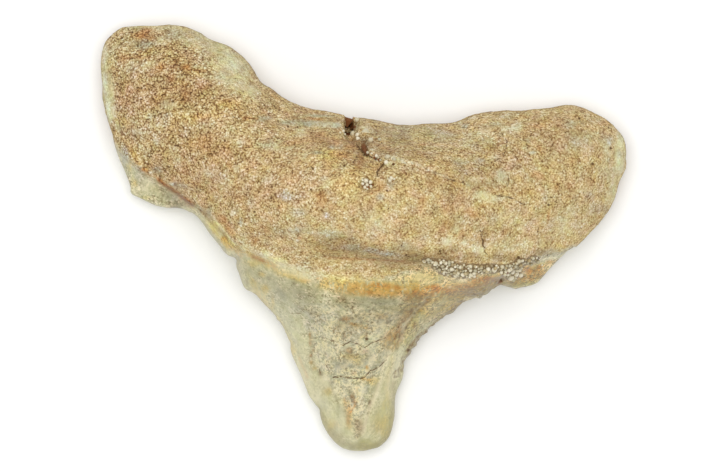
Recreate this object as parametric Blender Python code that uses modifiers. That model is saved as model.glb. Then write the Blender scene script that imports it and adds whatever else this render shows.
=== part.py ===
"""A fossil shark tooth that lies on its outer face: root towards +Y, tip towards -Y, inner face up.

Metres, +Z up. The root and the crown grew as one piece, so they are joined in one solid.
"""

import bmesh
import bpy
import numpy as np
from mathutils import Vector, noise

MM = 0.001

# Finish of the whole fossil
FOSSIL_COLOUR = (0.50, 0.37, 0.20, 1.0)
FOSSIL_ROUGHNESS = 0.7

# Outline of the root, seen from above, in mm, clockwise from the end of the left lobe
ROOT_EDGE = (
    (-22.8, 17.1), (-22.2, 17.9), (-21.2, 18.5), (-19.5, 18.7), (-17.8, 18.6), (-15.9, 18.6),
    (-14.1, 18.0), (-12.9, 17.3), (-11.6, 16.7), (-10.3, 15.5), (-9.2, 13.9), (-7.7, 12.8),
    (-5.5, 11.5), (-3.8, 11.1), (-1.6, 10.7), (0.6, 10.5), (2.8, 10.1), (6.3, 10.0), (8.3, 10.1),
    (9.8, 10.8), (12.4, 11.2), (14.6, 11.3), (16.5, 11.5), (18.1, 11.7), (19.9, 11.2), (21.6, 10.3),
    (22.8, 8.8), (23.1, 7.6), (23.0, 6.4), (22.4, 4.9), (21.7, 3.0), (20.6, 1.5), (19.2, -0.1),
    (17.8, -1.0), (16.4, -1.3), (14.6, -1.7), (13.3, -2.6), (12.0, -3.4), (10.2, -3.8), (7.6, -4.0),
    (5.0, -4.2), (2.4, -4.2), (-0.3, -4.1), (-2.9, -3.6), (-5.5, -3.0), (-8.1, -2.1), (-10.3, -1.1),
    (-11.6, -0.2), (-12.9, 1.3), (-14.0, 2.6), (-15.1, 3.3), (-17.1, 4.6), (-19.2, 5.6),
    (-20.8, 7.0), (-21.8, 8.4), (-22.1, 9.8), (-22.6, 11.1), (-22.8, 12.3), (-22.9, 14.3),
    (-23.0, 15.6),
)
# Outline of the crown and its two shoulders, clockwise from the left shoulder down to the tip and back
CROWN_EDGE = (
    (-18.6, 8.8), (-14.3, 6.4), (-9.0, 4.2), (-3.8, 2.6), (1.5, 2.0), (6.7, 2.1), (12.0, 2.7),
    (15.9, 2.8), (19.4, 2.3), (19.9, 1.1), (17.8, -1.1), (16.6, -2.3), (15.5, -3.5), (13.6, -4.4),
    (12.7, -4.2), (12.2, -3.6), (11.1, -4.4), (10.1, -5.1), (8.9, -4.9), (8.6, -5.6), (7.3, -6.6),
    (6.2, -7.5), (5.0, -8.7), (3.9, -10.0), (3.6, -11.5), (3.0, -13.1), (2.7, -14.6), (2.7, -16.2),
    (2.4, -17.0), (1.2, -18.2), (-0.3, -18.7), (-1.6, -18.5), (-2.7, -17.7), (-3.7, -16.1),
    (-3.8, -15.0), (-4.6, -14.0), (-5.3, -12.4), (-6.0, -10.6), (-6.3, -9.3), (-7.3, -7.1),
    (-9.0, -5.3), (-10.5, -3.9), (-11.0, -2.4), (-11.1, -1.6), (-12.3, -1.0), (-13.5, 0.8),
    (-14.5, 2.2), (-15.5, 2.7), (-17.8, 2.9), (-19.4, 3.5), (-20.2, 4.1), (-20.5, 5.0),
    (-21.3, 7.0), (-21.8, 9.1),
)

# Heights above the ground, in mm, that each face passes through: x, y, z
ROOT_INNER = (
    (-21.7, 15.6, 4.6), (-18.6, 17.4, 5.0), (-14.7, 16.9, 5.4), (-10.8, 14.3, 6.2),
    (-6.8, 11.2, 7.0), (-1.6, 9.7, 7.2), (3.2, 9.1, 7.6), (7.6, 8.9, 7.4), (12.0, 10.2, 6.4),
    (16.4, 10.5, 5.6), (19.9, 9.9, 5.0), (22.3, 7.7, 4.6), (-22.0, 12.1, 4.8), (-18.6, 13.0, 6.6),
    (-18.6, 8.6, 6.4), (-14.3, 13.0, 7.8), (-14.3, 8.6, 9.0), (-15.1, 5.1, 7.8), (-9.9, 10.4, 9.3),
    (-9.9, 6.0, 11.6), (-11.2, 2.1, 9.5), (-5.5, 7.7, 11.5), (-5.5, 3.4, 13.8), (-6.4, 0.3, 12.2),
    (-1.1, 6.9, 12.6), (-1.1, 2.9, 15.0), (-1.6, 0.0, 13.6), (3.2, 6.4, 12.8), (3.2, 2.3, 15.0),
    (3.2, -0.8, 13.8), (7.6, 6.4, 11.6), (7.6, 2.5, 13.4), (7.6, -1.0, 12.0), (12.0, 7.3, 9.4),
    (12.0, 3.4, 10.8), (12.0, -0.6, 9.6), (16.4, 7.7, 7.6), (16.4, 3.4, 8.2), (15.9, -0.1, 6.6),
    (19.9, 7.7, 6.2), (19.9, 4.2, 6.0), (21.8, 5.6, 4.8), (-9.9, -0.8, 8.6), (-6.4, -2.1, 10.5),
    (-1.1, -3.2, 11.5), (5.0, -3.6, 11.5), (10.2, -3.5, 9.9), (13.7, -2.1, 8.0), (17.7, -0.6, 5.2),
    (-20.4, 7.3, 4.6), (-17.3, 5.1, 5.4), (-14.3, 3.1, 6.4), (-12.3, 0.7, 7.6),
)
ROOT_OUTER = (
    (-18.6, 13.4, -0.1), (19.0, 6.4, -0.1), (-14.3, 15.6, 0.3), (-21.3, 16.5, 0.4),
    (-9.9, 11.2, 0.9), (-5.5, 8.6, 1.3), (-1.1, 7.7, 1.6), (3.2, 7.7, 1.6), (7.6, 7.7, 1.3),
    (12.0, 8.6, 0.8), (16.4, 9.5, 0.3), (21.6, 8.6, 0.4), (-1.1, -1.0, 2.5), (-18.6, 7.7, 0.9),
    (17.2, 0.7, 1.2), (-10.8, 1.6, 1.8), (9.4, -1.9, 2.0),
)
CROWN_INNER = (
    (-21.4, 7.7, 2.6), (-19.9, 5.6, 3.0), (-19.9, 4.1, 2.2), (-17.3, 3.4, 3.0), (-15.6, 3.1, 3.6),
    (-12.9, 0.6, 4.8), (-11.6, -1.0, 5.6), (-9.9, -2.1, 6.8), (-6.4, -3.5, 8.8), (-1.1, -4.3, 9.5),
    (5.0, -4.5, 9.3), (9.4, -4.3, 7.6), (11.7, -3.7, 6.0), (13.4, -4.0, 3.0), (14.2, -2.8, 4.6),
    (15.9, -2.1, 3.8), (17.2, -1.0, 3.6), (19.4, 0.7, 3.0), (-8.8, -5.4, 3.4), (-6.8, -5.4, 6.0),
    (-3.8, -5.4, 8.2), (-0.3, -5.4, 9.0), (4.1, -5.4, 8.2), (6.7, -5.4, 6.2), (8.5, -5.4, 3.8),
    (-6.9, -8.0, 2.6), (-4.6, -8.0, 5.6), (-0.7, -8.0, 7.8), (2.8, -8.0, 6.4), (5.3, -8.0, 2.8),
    (-5.9, -10.6, 2.2), (-3.8, -10.6, 5.0), (-1.1, -10.6, 6.7), (1.9, -10.6, 5.2),
    (3.6, -10.6, 2.4), (-4.4, -14.1, 2.0), (-1.0, -14.1, 5.4), (2.7, -14.1, 2.0),
    (-3.2, -16.8, 1.8), (-0.5, -16.8, 4.2), (2.2, -16.8, 1.8), (-0.3, -18.5, 2.4),
    (-18.6, 8.6, 3.5), (-5.5, 2.5, 7.0), (7.6, 2.1, 7.0), (19.0, 2.1, 3.0),
)
CROWN_OUTER = (
    (-1.0, -14.1, -0.1), (-0.4, -18.1, 0.6), (-1.0, -8.9, 0.15), (-1.0, -4.5, 0.5),
    (-1.0, -0.1, 0.9), (-8.3, -5.4, 1.1), (-5.5, -10.6, 0.7), (-4.2, -14.6, 0.6), (2.8, -13.7, 0.6),
    (3.9, -9.3, 0.8), (8.0, -5.4, 1.2), (-19.5, 5.1, 0.6), (-15.1, 4.2, 0.6), (-11.6, 0.7, 0.8),
    (14.6, -2.3, 0.8), (18.1, 0.3, 0.6), (12.0, -1.0, 0.9), (5.9, -0.1, 0.9), (-14.3, 6.0, 0.4),
)

# The bulge of the root ends in a ledge along this line, with the sandy groove under its right half
LEDGE_LINE = (
    (-8.6, 1.2), (-6.4, -0.1), (-4.6, -0.6), (-1.6, -1.0), (1.5, -1.8), (5.7, -2.1), (7.6, -2.4),
    (10.2, -2.4), (13.3, -1.9), (15.9, -1.2),
)
LEDGE_DROP = ((-9.5, 0.0), (-6.0, 0.9), (-1.6, 1.7), (6.0, 1.8), (10.2, 1.4), (13.3, 0.9), (16.5, 0.0))
LEDGE_RUN = 0.9

# Widths over which the rims are rounded: on the inner face, at the collar and on the outer face
ROOT_RIM = 3.4
COLLAR_RIM = 0.8
CROWN_RIM = 1.1
OUTER_RIM = 1.6
COLLAR_LINE = (
    (-19.2, 5.6), (-15.1, 3.3), (-12.9, 1.3), (-10.3, -1.1), (-5.5, -3.0), (-0.3, -4.1), (5.0, -4.2),
    (10.2, -3.8), (13.3, -2.6), (16.4, -1.3),
)
COLLAR_REACH = 1.2

# Where the root's lumps give way to the crown's, above the collar line
COLLAR_BLEND = (-0.3, 0.6)
# How far a face has to look up to take the detail of the inner face: the upward part of its normal
FACING_UP = (0.1, 0.5)
# Furrows pressed into the inner face: points, half width, depth
FURROWS = (
    (((-1.2, 10.9), (-0.9, 10.2), (-1.0, 9.4)), 0.42, 1.6),
    (((-0.8, 9.0), (-0.2, 7.8), (0.3, 7.1), (1.2, 6.8)), 0.4, 0.3),
    (((1.7, 6.6), (1.3, 6.2), (1.1, 5.5)), 0.3, 0.15),
    (((10.4, 0.9), (10.6, -1.0)), 0.35, 0.3),
    (((-8.1, 10.6), (-5.4, 9.7), (-2.2, 9.3)), 0.9, 0.25),
)
# Small round hollows and lumps of the inner face: x, y, radius, height
SPOTS = (
    (0.3, 4.7, 0.5, -0.4), (2.2, 5.0, 0.4, -0.35), (0.1, 9.8, 0.7, 0.4), (-2.6, 9.9, 0.8, 0.25),
    (0.3, -8.7, 0.35, -0.3), (-19.6, 17.5, 1.3, -0.3), (-14.0, 2.9, 0.7, 0.25),
    (12.2, -3.9, 0.5, 0.3), (10.8, -4.6, 0.6, 0.3), (-17.0, 12.0, 2.4, 0.3), (-8.0, 7.0, 2.2, -0.25),
    (6.0, 5.2, 2.2, 0.25), (14.0, 6.0, 2.4, -0.25), (18.5, 9.0, 2.0, 0.25), (-3.0, 5.0, 2.0, 0.2),
)
# The bare dentine of the crown lies lower than the enamel beside it: y, left edge, right edge
DENTINE = (
    (-5.6, -8.0, 5.6), (-7.0, -5.8, 4.4), (-8.9, -4.8, 3.8), (-10.6, -4.6, 2.2), (-12.2, -3.8, 1.9),
    (-14.0, -2.4, 0.9), (-16.0, -1.7, 0.2), (-17.4, -0.8, -0.4),
)
DENTINE_DEPTH = 0.18
DENTINE_BORDER = (-0.6, 0.6)
DENTINE_TOP = (-8.0, -4.6)
# The sandy matrix left in the groove: x, y, half width
SAND_LINE = (
    (5.6, -2.0, 0.1), (7.2, -2.6, 0.45), (8.9, -2.8, 0.55), (10.7, -2.6, 0.4), (12.0, -2.6, 0.45),
    (13.0, -2.7, 0.75), (13.9, -2.0, 0.5), (15.0, -1.6, 0.3), (15.9, -1.4, 0.15),
)
SAND_HEIGHT = 0.35
SAND_BORDER = (0.7, 1.6)
SAND_START = (5.4, 6.0)
SAND_LUMPS = ((0.9, 0.5),)
SAND_LEVEL = 0.75

# Sizes of the mesh while the solid is shaped, in mm, and the faces that it ends with
SLAB_HALF = 3.0
SLAB_GRAIN = 0.5
SHAPE_GRAIN = 0.3
OUTLINE_STEPS = 5
OUTLINE_GROWTH = 0.1
MOST_TRIANGLES = 9400
LEAST_RIM = 0.12
WELD = 0.01
JOIN_RELAX = 3
GROUND = (80, 80, 10)

# Large waves and small lumps over the surface: wave length in mm, height in mm
ROOT_WAVES = ((7.0, 0.22), (2.6, 0.14), (1.3, 0.07))
CROWN_WAVES = ((5.0, 0.07), (1.4, 0.035))


def smooth_loop(points, steps=OUTLINE_STEPS):
    """The closed outline through the points, rounded between them, with room for what smoothing takes off."""
    here = np.array(points, float)
    before, after, next_after = np.roll(here, 1, 0), np.roll(here, -1, 0), np.roll(here, -2, 0)
    rows = []
    for t in np.arange(steps) / steps:
        slope = (after - before) * t
        bend = (2 * before - 5 * here + 4 * after - next_after) * t**2
        twist = (3 * here - before - 3 * after + next_after) * t**3
        rows.append(here + 0.5 * (slope + bend + twist))
    loop = np.stack(rows, axis=1).reshape(-1, 2)
    along = np.roll(loop, -1, 0) - np.roll(loop, 1, 0)
    outward = np.column_stack([-along[:, 1], along[:, 0]]) / np.hypot(*along.T)[:, None]
    return loop + OUTLINE_GROWTH * outward


def distance_to(line, spots, closed=False):
    """Distance of each spot from a line of points, in the plane."""
    line = np.array(line, float)
    ends = np.roll(line, -1, 0) if closed else line[1:]
    starts = line if closed else line[:-1]
    least = np.full(len(spots), np.inf)
    for start, end in zip(starts, ends):
        run = end - start
        along = np.clip((spots - start) @ run / (run @ run), 0, 1)
        least = np.minimum(least, np.hypot(*(spots - start - along[:, None] * run).T))
    return least


def surface_through(heights):
    """The smoothest sheet through all the heights, as a function of x and y."""
    heights = np.array(heights, float)
    places, z = heights[:, :2], heights[:, 2]

    def bend(spots):
        square = ((spots[:, None] - places[None]) ** 2).sum(-1)
        return square * np.log(square + 1e-9)

    flat = np.column_stack([np.ones(len(z)), places])
    system = np.block([[bend(places), flat], [flat.T, np.zeros((3, 3))]])
    weights = np.linalg.solve(system, np.append(z, np.zeros(3)))

    def sheet(spots):
        return bend(spots) @ weights[:-3] + np.column_stack([np.ones(len(spots)), spots]) @ weights[-3:]

    return sheet


def ease(value, low, high):
    """0 below low, 1 above high and smooth between."""
    t = np.clip((value - low) / (high - low), 0, 1)
    return t * t * (3 - 2 * t)


def column(table, place, number):
    """One column of a table, read off at each place along its first column."""
    table = np.array(sorted(table), float)
    return np.interp(place, table[:, 0], table[:, number])


def points_of(mesh):
    points = np.empty(len(mesh.vertices) * 3)
    mesh.vertices.foreach_get("co", points)
    return points.reshape(-1, 3) / MM


def put_points(mesh, points):
    mesh.vertices.foreach_set("co", (points * MM).ravel())
    mesh.update()


def settled(obj):
    """Gives the object the mesh that its modifiers make, and takes the modifiers off."""
    graph = bpy.context.evaluated_depsgraph_get()
    mesh = bpy.data.meshes.new_from_object(obj.evaluated_get(graph))
    old = obj.data
    obj.modifiers.clear()
    obj.data = mesh
    bpy.data.meshes.remove(old)
    return obj


def regrained(obj, grain):
    """Covers the solid in even faces of one size."""
    remesh = obj.modifiers.new("Even faces", "REMESH")
    remesh.mode = "VOXEL"
    remesh.voxel_size = grain * MM
    return settled(obj)


def relaxed(obj, rounds):
    smooth = obj.modifiers.new("Relax", "SMOOTH")
    smooth.factor = 0.5
    smooth.iterations = rounds
    return settled(obj)


def slab(name, loop, collection):
    """A flat slab with the outline of the loop, as an even mesh."""
    curve = bpy.data.curves.new(name + "_outline", "CURVE")
    curve.dimensions = "2D"
    curve.fill_mode = "BOTH"
    curve.extrude = SLAB_HALF * MM
    spline = curve.splines.new("POLY")
    spline.points.add(len(loop) - 1)
    for point, (x, y) in zip(spline.points, loop):
        point.co = (x * MM, y * MM, 0, 1)
    spline.use_cyclic_u = True
    outline = bpy.data.objects.new(name + "_outline", curve)
    collection.objects.link(outline)
    graph = bpy.context.evaluated_depsgraph_get()
    mesh = bpy.data.meshes.new_from_object(outline.evaluated_get(graph))
    shell = bmesh.new()
    shell.from_mesh(mesh)
    bmesh.ops.remove_doubles(shell, verts=shell.verts, dist=WELD * MM)
    shell.to_mesh(mesh)
    shell.free()
    solid = bpy.data.objects.new(name, mesh)
    collection.objects.link(solid)
    solid.matrix_world = outline.matrix_world
    bpy.data.objects.remove(outline)
    return regrained(solid, SLAB_GRAIN)


def filled_out(obj, loop, inner, outer, rim):
    """Bends a slab between its inner and its outer face and rounds its rim."""
    points = points_of(obj.data)
    spots, level = points[:, :2], points[:, 2] / SLAB_HALF
    depth = distance_to(loop, spots, closed=True)
    width = np.where(level > 0, rim(spots), OUTER_RIM)
    swell = np.sqrt(1 - (1 - np.clip(depth / width, 0, 1)) ** 2)
    top, bottom = inner(spots), outer(spots)
    middle, half = (top + bottom) / 2, (top - bottom) / 2
    points[:, 2] = middle + level * half * np.maximum(swell, LEAST_RIM)
    put_points(obj.data, points)
    return obj


def root_inner(spots):
    """The inner face of the root: the bulge, and the ledge that it ends in."""
    below = column(LEDGE_LINE, spots[:, 0], 1) - spots[:, 1]
    drop = column(LEDGE_DROP, spots[:, 0], 1)
    return surface_through(ROOT_INNER)(spots) - drop * ease(below, -LEDGE_RUN / 2, LEDGE_RUN / 2)


def root_rim(spots):
    away = ease(distance_to(COLLAR_LINE, spots), COLLAR_REACH, 4 * COLLAR_REACH)
    return COLLAR_RIM + (ROOT_RIM - COLLAR_RIM) * away


def crown_rim(spots):
    return np.full(len(spots), CROWN_RIM)


def build_root(collection):
    loop = smooth_loop(ROOT_EDGE)
    root = slab("root", loop, collection)
    return filled_out(root, loop, root_inner, surface_through(ROOT_OUTER), root_rim)


def build_crown(collection):
    loop = smooth_loop(CROWN_EDGE)
    crown = slab("crown", loop, collection)
    return filled_out(crown, loop, surface_through(CROWN_INNER), surface_through(CROWN_OUTER), crown_rim)


def grown_together(root, crown):
    """Joins the crown to the root."""
    for piece in (root, crown):
        regrained(piece, SHAPE_GRAIN)
    union = root.modifiers.new("Crown", "BOOLEAN")
    union.operation = "UNION"
    union.object = crown
    settled(root)
    bpy.data.objects.remove(crown)
    return relaxed(regrained(root, SHAPE_GRAIN), JOIN_RELAX)


def waves(points, table):
    """Lumps of several sizes: the height at each point."""
    height = np.zeros(len(points))
    for number, (length, size) in enumerate(table):
        shift = Vector((17.3 * number, 5.1, 3.7))
        height += size * np.array([noise.noise(Vector(point) / length + shift) for point in points])
    return height


def detail_heights(points, normals):
    """How far each point of the surface stands out: lumps, furrows, hollows and the sandy crust."""
    spots = points[:, :2]
    upward = ease(normals[:, 2], *FACING_UP)
    on_root = ease(spots[:, 1] - column(COLLAR_LINE, spots[:, 0], 1), *COLLAR_BLEND)
    off_collar = ease(distance_to(COLLAR_LINE, spots), 0, COLLAR_REACH)
    height = waves(points, ROOT_WAVES) * on_root * off_collar
    height += waves(points, CROWN_WAVES) * (1 - on_root)
    for line, half_width, depth in FURROWS:
        away = distance_to(line, spots) / half_width
        height -= depth * np.exp(-(away**2)) * upward
    for x, y, radius, rise in SPOTS:
        away = np.hypot(spots[:, 0] - x, spots[:, 1] - y) / radius
        height += rise * np.exp(-(away**2)) * upward
    left, right = column(DENTINE, spots[:, 1], 1), column(DENTINE, spots[:, 1], 2)
    inside = np.minimum(spots[:, 0] - left, right - spots[:, 0])
    bare = ease(inside, *DENTINE_BORDER) * (1 - ease(spots[:, 1], *DENTINE_TOP)) * upward
    height -= DENTINE_DEPTH * bare
    away = distance_to([place[:2] for place in SAND_LINE], spots) / column(SAND_LINE, spots[:, 0], 2)
    crust = (1 - ease(away, *SAND_BORDER)) * ease(spots[:, 0], *SAND_START) * upward
    return height + SAND_HEIGHT * crust * (SAND_LEVEL + waves(points, SAND_LUMPS))


def carved(obj):
    """Works the surface detail into the solid."""
    mesh = obj.data
    points = points_of(mesh)
    normals = np.empty(len(points) * 3)
    mesh.vertices.foreach_get("normal", normals)
    normals = normals.reshape(-1, 3)
    put_points(mesh, points + normals * detail_heights(points, normals)[:, None])
    return obj


def thinned(obj):
    """Leaves fewer, larger faces where the surface is plain."""
    obj.data.calc_loop_triangles()
    thin = obj.modifiers.new("Fewer faces", "DECIMATE")
    thin.ratio = MOST_TRIANGLES / len(obj.data.loop_triangles)
    thin.use_collapse_triangulate = True
    return settled(obj)


def rested(obj, cutters):
    """Centres the outline on the origin and cuts the outer face flat where it meets the ground."""
    points = points_of(obj.data)
    low, high = points.min(0), points.max(0)
    points[:, :2] -= (low + high)[:2] / 2
    put_points(obj.data, points)
    shell = bmesh.new()
    bmesh.ops.create_cube(shell, size=1)
    bmesh.ops.scale(shell, verts=shell.verts, vec=Vector(GROUND) * MM)
    bmesh.ops.translate(shell, verts=shell.verts, vec=Vector((0, 0, -GROUND[2] / 2)) * MM)
    mesh = bpy.data.meshes.new("ground")
    shell.to_mesh(mesh)
    shell.free()
    ground = bpy.data.objects.new("ground", mesh)
    ground.hide_render = True
    ground.display_type = "WIRE"
    cutters.objects.link(ground)
    cut = obj.modifiers.new("Resting spots", "BOOLEAN")
    cut.operation = "DIFFERENCE"
    cut.object = ground
    settled(obj)
    bpy.data.objects.remove(ground)
    return obj


def fossil_material():
    material = bpy.data.materials.new("fossil_tooth")
    material.use_nodes = True
    shader = material.node_tree.nodes["Principled BSDF"]
    shader.inputs["Base Color"].default_value = FOSSIL_COLOUR
    shader.inputs["Roughness"].default_value = FOSSIL_ROUGHNESS
    shader.inputs["Metallic"].default_value = 0.0
    return material


def cleared():
    for obj in list(bpy.data.objects):
        bpy.data.objects.remove(obj)


def new_collection(name):
    collection = bpy.data.collections.new(name)
    bpy.context.scene.collection.children.link(collection)
    return collection


def main():
    cleared()
    parts = new_collection("fossil_shark_tooth")
    cutters = new_collection("cutters")
    root = build_root(parts)
    crown = build_crown(parts)
    tooth = carved(grown_together(root, crown))
    tooth = rested(thinned(tooth), cutters)
    tooth.name = "tooth"
    tooth.data.name = "tooth"
    tooth.data.materials.clear()
    tooth.data.materials.append(fossil_material())
    tooth.data.shade_smooth()


main()
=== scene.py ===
import math

import bpy
import numpy as np
from mathutils import Euler, Matrix, Vector, noise
from mathutils.bvhtree import BVHTree


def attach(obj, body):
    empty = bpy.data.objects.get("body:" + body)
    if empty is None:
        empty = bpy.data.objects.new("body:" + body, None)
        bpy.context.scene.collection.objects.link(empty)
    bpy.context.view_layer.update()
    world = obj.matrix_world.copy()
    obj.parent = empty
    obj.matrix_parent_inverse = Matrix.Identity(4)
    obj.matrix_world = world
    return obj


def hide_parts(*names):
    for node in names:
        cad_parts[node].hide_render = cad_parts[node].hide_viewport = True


bl_info = {
    "name": "Fossil Shark Tooth",
    "version": (1, 0, 0),
    "blender": (4, 5, 0),
    "location": "3D View > Sidebar > Fossil Tooth",
    "description": "Finishes a fossil shark tooth: worn porous root, waxy crown, cemented sand, stage",
    "category": "Object",
}

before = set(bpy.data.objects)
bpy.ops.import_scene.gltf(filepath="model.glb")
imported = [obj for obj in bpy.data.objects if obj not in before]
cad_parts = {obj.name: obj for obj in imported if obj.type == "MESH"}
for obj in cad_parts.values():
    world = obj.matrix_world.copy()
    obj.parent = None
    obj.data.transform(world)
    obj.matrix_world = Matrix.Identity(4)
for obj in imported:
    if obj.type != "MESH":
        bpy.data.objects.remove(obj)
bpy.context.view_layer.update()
MM = 0.001
TAB = "Fossil Tooth"

# Lines on the inner face, in mm from the middle of the outline: +x to the right lobe, +y to the root
GRAIN_END = (
    (-22.4, 9.6), (-21.6, 8.0), (-20.8, 7.0), (-19.9, 6.3), (-19.2, 5.6), (-18.2, 5.1), (-17.1, 4.5),
    (-15.6, 3.5), (-14.8, 2.75), (-13.6, 1.2), (-12.6, -0.1), (-11.3, -1.0), (-10.0, -1.3), (-8.1, -1.8),
    (-7.0, -2.2), (-6.0, -2.7), (-5.0, -3.1), (-4.0, -3.4), (-3.0, -3.6), (-2.0, -3.75), (-1.0, -3.7),
    (0.0, -3.5), (2.0, -3.45), (3.0, -3.1), (4.0, -2.6), (5.2, -2.2), (6.5, -2.4), (8.0, -2.7),
    (10.0, -2.9), (11.6, -2.9), (12.9, -2.5), (14.3, -1.9), (15.9, -1.4), (17.3, -1.2), (18.3, -0.7),
)
ENAMEL_ARCH = (
    (-18.6, 8.8), (-14.3, 6.4), (-9.0, 4.2), (-3.8, 2.6), (1.5, 2.0), (6.7, 2.1), (12.0, 2.7),
    (15.9, 2.8), (19.4, 2.3),
)
# The bare dentine of the crown: y, left edge, right edge
DENTINE = (
    (-5.6, -5.6, 5.6), (-7.1, -4.9, 4.6), (-8.9, -4.7, 3.6), (-10.6, -4.6, 2.3),
    (-12.2, -3.9, 1.6), (-12.9, -2.7, 1.3), (-14.1, -2.2, 0.9), (-15.9, -1.6, 0.3), (-16.9, -1.1, 0.0),
    (-17.6, -0.7, -0.5),
)
# The worn edge of the crown on the right, and the lumpy grey edge above it
BROKEN_EDGE = ((3.0, -11.9), (3.6, -11.0), (3.9, -10.0), (5.0, -8.7), (6.2, -7.5), (7.3, -6.6), (8.6, -5.6))
LUMPY_EDGE = ((8.9, -5.0), (10.1, -5.1), (11.1, -4.5), (12.0, -3.9))

# Small pulls on the outline: x, y, reach, pull across, pull along
PULLS = (
    (-20.15, 3.95, 0.5, -0.3, -0.05), (-17.6, 2.8, 1.0, 0.0, -0.1), (-22.0, 9.4, 0.9, 0.2, 0.0),
    (-9.0, 13.6, 0.7, -0.15, -0.15), (22.8, 8.7, 1.1, 0.22, 0.0), (22.9, 6.2, 0.7, 0.18, 0.0),
    (-12.6, -0.5, 0.9, 0.14, 0.1), (-11.35, -1.9, 0.4, 0.3, 0.2), (-10.7, -3.2, 0.7, 0.1, 0.05),
    (-9.5, -4.9, 0.7, 0.1, 0.08), (-10.2, -4.3, 0.35, -0.07, -0.06), (-7.45, -7.05, 0.15, -0.1, -0.05),
    (-6.2, -9.15, 0.3, 0.24, 0.0), (-6.35, -10.1, 0.8, -0.14, 0.0), (-3.85, -14.95, 0.3, 0.16, 0.0),
    (7.8, -6.4, 0.7, 0.16, -0.16), (4.5, -9.4, 0.35, 0.2, -0.1), (4.05, -10.1, 0.35, 0.24, 0.0),
    (3.55, -10.7, 0.2, -0.1, 0.0), (3.3, -12.4, 0.6, 0.14, 0.0), (2.7, -15.6, 1.9, 0.2, 0.0),
    (2.0, -17.6, 0.8, 0.2, -0.12), (1.3, -18.4, 0.6, 0.14, -0.12), (15.0, -3.8, 0.8, 0.14, -0.12),
    (8.6, -5.3, 0.22, 0.14, -0.1), (10.2, -5.0, 0.3, 0.0, -0.12), (9.6, -4.9, 0.22, 0.0, 0.12),
    (12.0, -4.0, 0.28, 0.0, 0.2), (-13.4, 17.5, 0.8, -0.2, -0.12), (-21.2, 18.6, 0.8, -0.06, 0.08),
    (5.4, -8.2, 0.25, 0.12, -0.08), (6.2, -7.6, 0.2, 0.12, -0.1), (-3.3, 11.2, 0.5, 0.0, 0.05),
    (-15.3, 2.55, 0.3, 0.0, -0.08), (13.4, -4.35, 0.25, 0.0, -0.1),
)

# Cracks: points, half width, depth
CRACKS = (
    (((-4.64, -8.71), (-3.76, -8.62), (-2.71, -8.88), (-2.19, -9.06), (-1.75, -9.32), (-1.14, -8.97),
     (-0.52, -9.14), (0.0, -9.49), (0.35, -9.41), (0.61, -9.14), (1.49, -8.79),
     (2.01, -8.62)), 0.036, 0.085),
    (((-2.62, -12.12), (-1.92, -12.03), (-1.49, -12.12), (-0.96, -12.21), (-0.09, -12.21),
     (0.26, -12.03), (0.61, -11.59), (1.22, -11.33)), 0.038, 0.14),
    (((1.22, -11.33), (1.66, -10.98), (2.01, -10.63), (2.36, -10.19)), 0.036, 0.085),
    (((-3.32, -10.89), (-3.15, -11.24), (-2.97, -11.59)), 0.035, 0.08),
    (((-3.85, -11.42), (-3.67, -11.77), (-3.67, -12.03)), 0.045, 0.06),
    (((1.8, 6.45), (1.6, 6.2), (1.35, 5.95), (1.2, 5.7), (1.25, 5.4)), 0.07, 0.14),
    (((-0.6, 8.2), (-0.35, 7.85), (0.0, 7.5), (0.35, 7.2), (0.75, 7.02)), 0.06, 0.14),
    (((12.1, 9.2), (12.5, 8.5), (12.4, 7.7), (12.1, 7.1), (11.4, 6.7)), 0.045, 0.09),
    (((11.6, 3.68), (12.3, 3.62), (13.1, 3.4), (14.0, 2.9)), 0.05, 0.1),
    (((12.55, 5.5), (12.6, 5.0), (12.45, 4.5)), 0.05, 0.06),
    (((10.1, 0.7), (10.3, 0.45), (10.2, 0.1), (10.42, -0.2), (10.3, -0.55), (10.55, -0.8),
     (10.48, -1.15), (10.8, -1.4)), 0.05, 0.1),
    (((6.9, 5.35), (7.7, 5.0), (8.6, 4.78), (9.4, 4.45), (10.3, 4.3), (11.0, 3.95),
     (11.6, 3.68)), 0.04, 0.06),
    (((-1.3, 7.5), (-1.35, 7.15), (-1.8, 6.7)), 0.035, 0.06),
    (((-4.5, 6.25), (-4.25, 5.95)), 0.06, 0.06),
    (((2.15, 8.7), (2.6, 8.5), (3.05, 8.4)), 0.05, 0.05),
    (((6.0, 8.8), (6.3, 8.3)), 0.05, 0.05),
    (((-11.3, 10.55), (-10.4, 10.5), (-9.2, 10.35)), 0.05, 0.06),
    (((-17.75, 5.55), (-17.7, 5.2)), 0.05, 0.06),
    (((15.6, 3.55), (16.6, 3.6), (17.4, 3.5)), 0.035, 0.05),
    (((13.55, 7.95), (13.8, 7.65)), 0.05, 0.06),
    (((-3.6, 8.7), (-3.55, 8.4)), 0.04, 0.05),
    (((4.3, 7.7), (5.0, 7.35)), 0.05, 0.04),
)
# Soft creases: points, half width, depth
CREASES = (
    (((5.6, -5.21), (5.07, -5.91), (4.46, -6.69), (3.94, -7.48), (3.5, -8.27), (3.32, -8.97),
     (2.97, -9.58)), 0.16, 0.1),
    (((-4.55, -8.27), (-4.38, -9.32), (-4.55, -10.28), (-4.2, -11.16), (-3.67, -12.12)), 0.16, 0.07),
    (((-2.89, -12.64), (-2.62, -13.43), (-2.27, -14.31), (-1.75, -15.18), (-1.22, -16.23)), 0.14, 0.05),
    (((1.31, -12.82), (0.96, -13.61), (0.61, -14.57), (0.44, -15.36), (0.26, -16.06), (-0.09, -16.93),
     (-0.61, -17.46)), 0.14, 0.07),
    (((-3.4, -1.55), (-1.57, -1.7), (-0.26, -1.75), (1.49, -1.85), (3.24, -1.97),
     (4.99, -1.97)), 0.14, 0.07),
)
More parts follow.
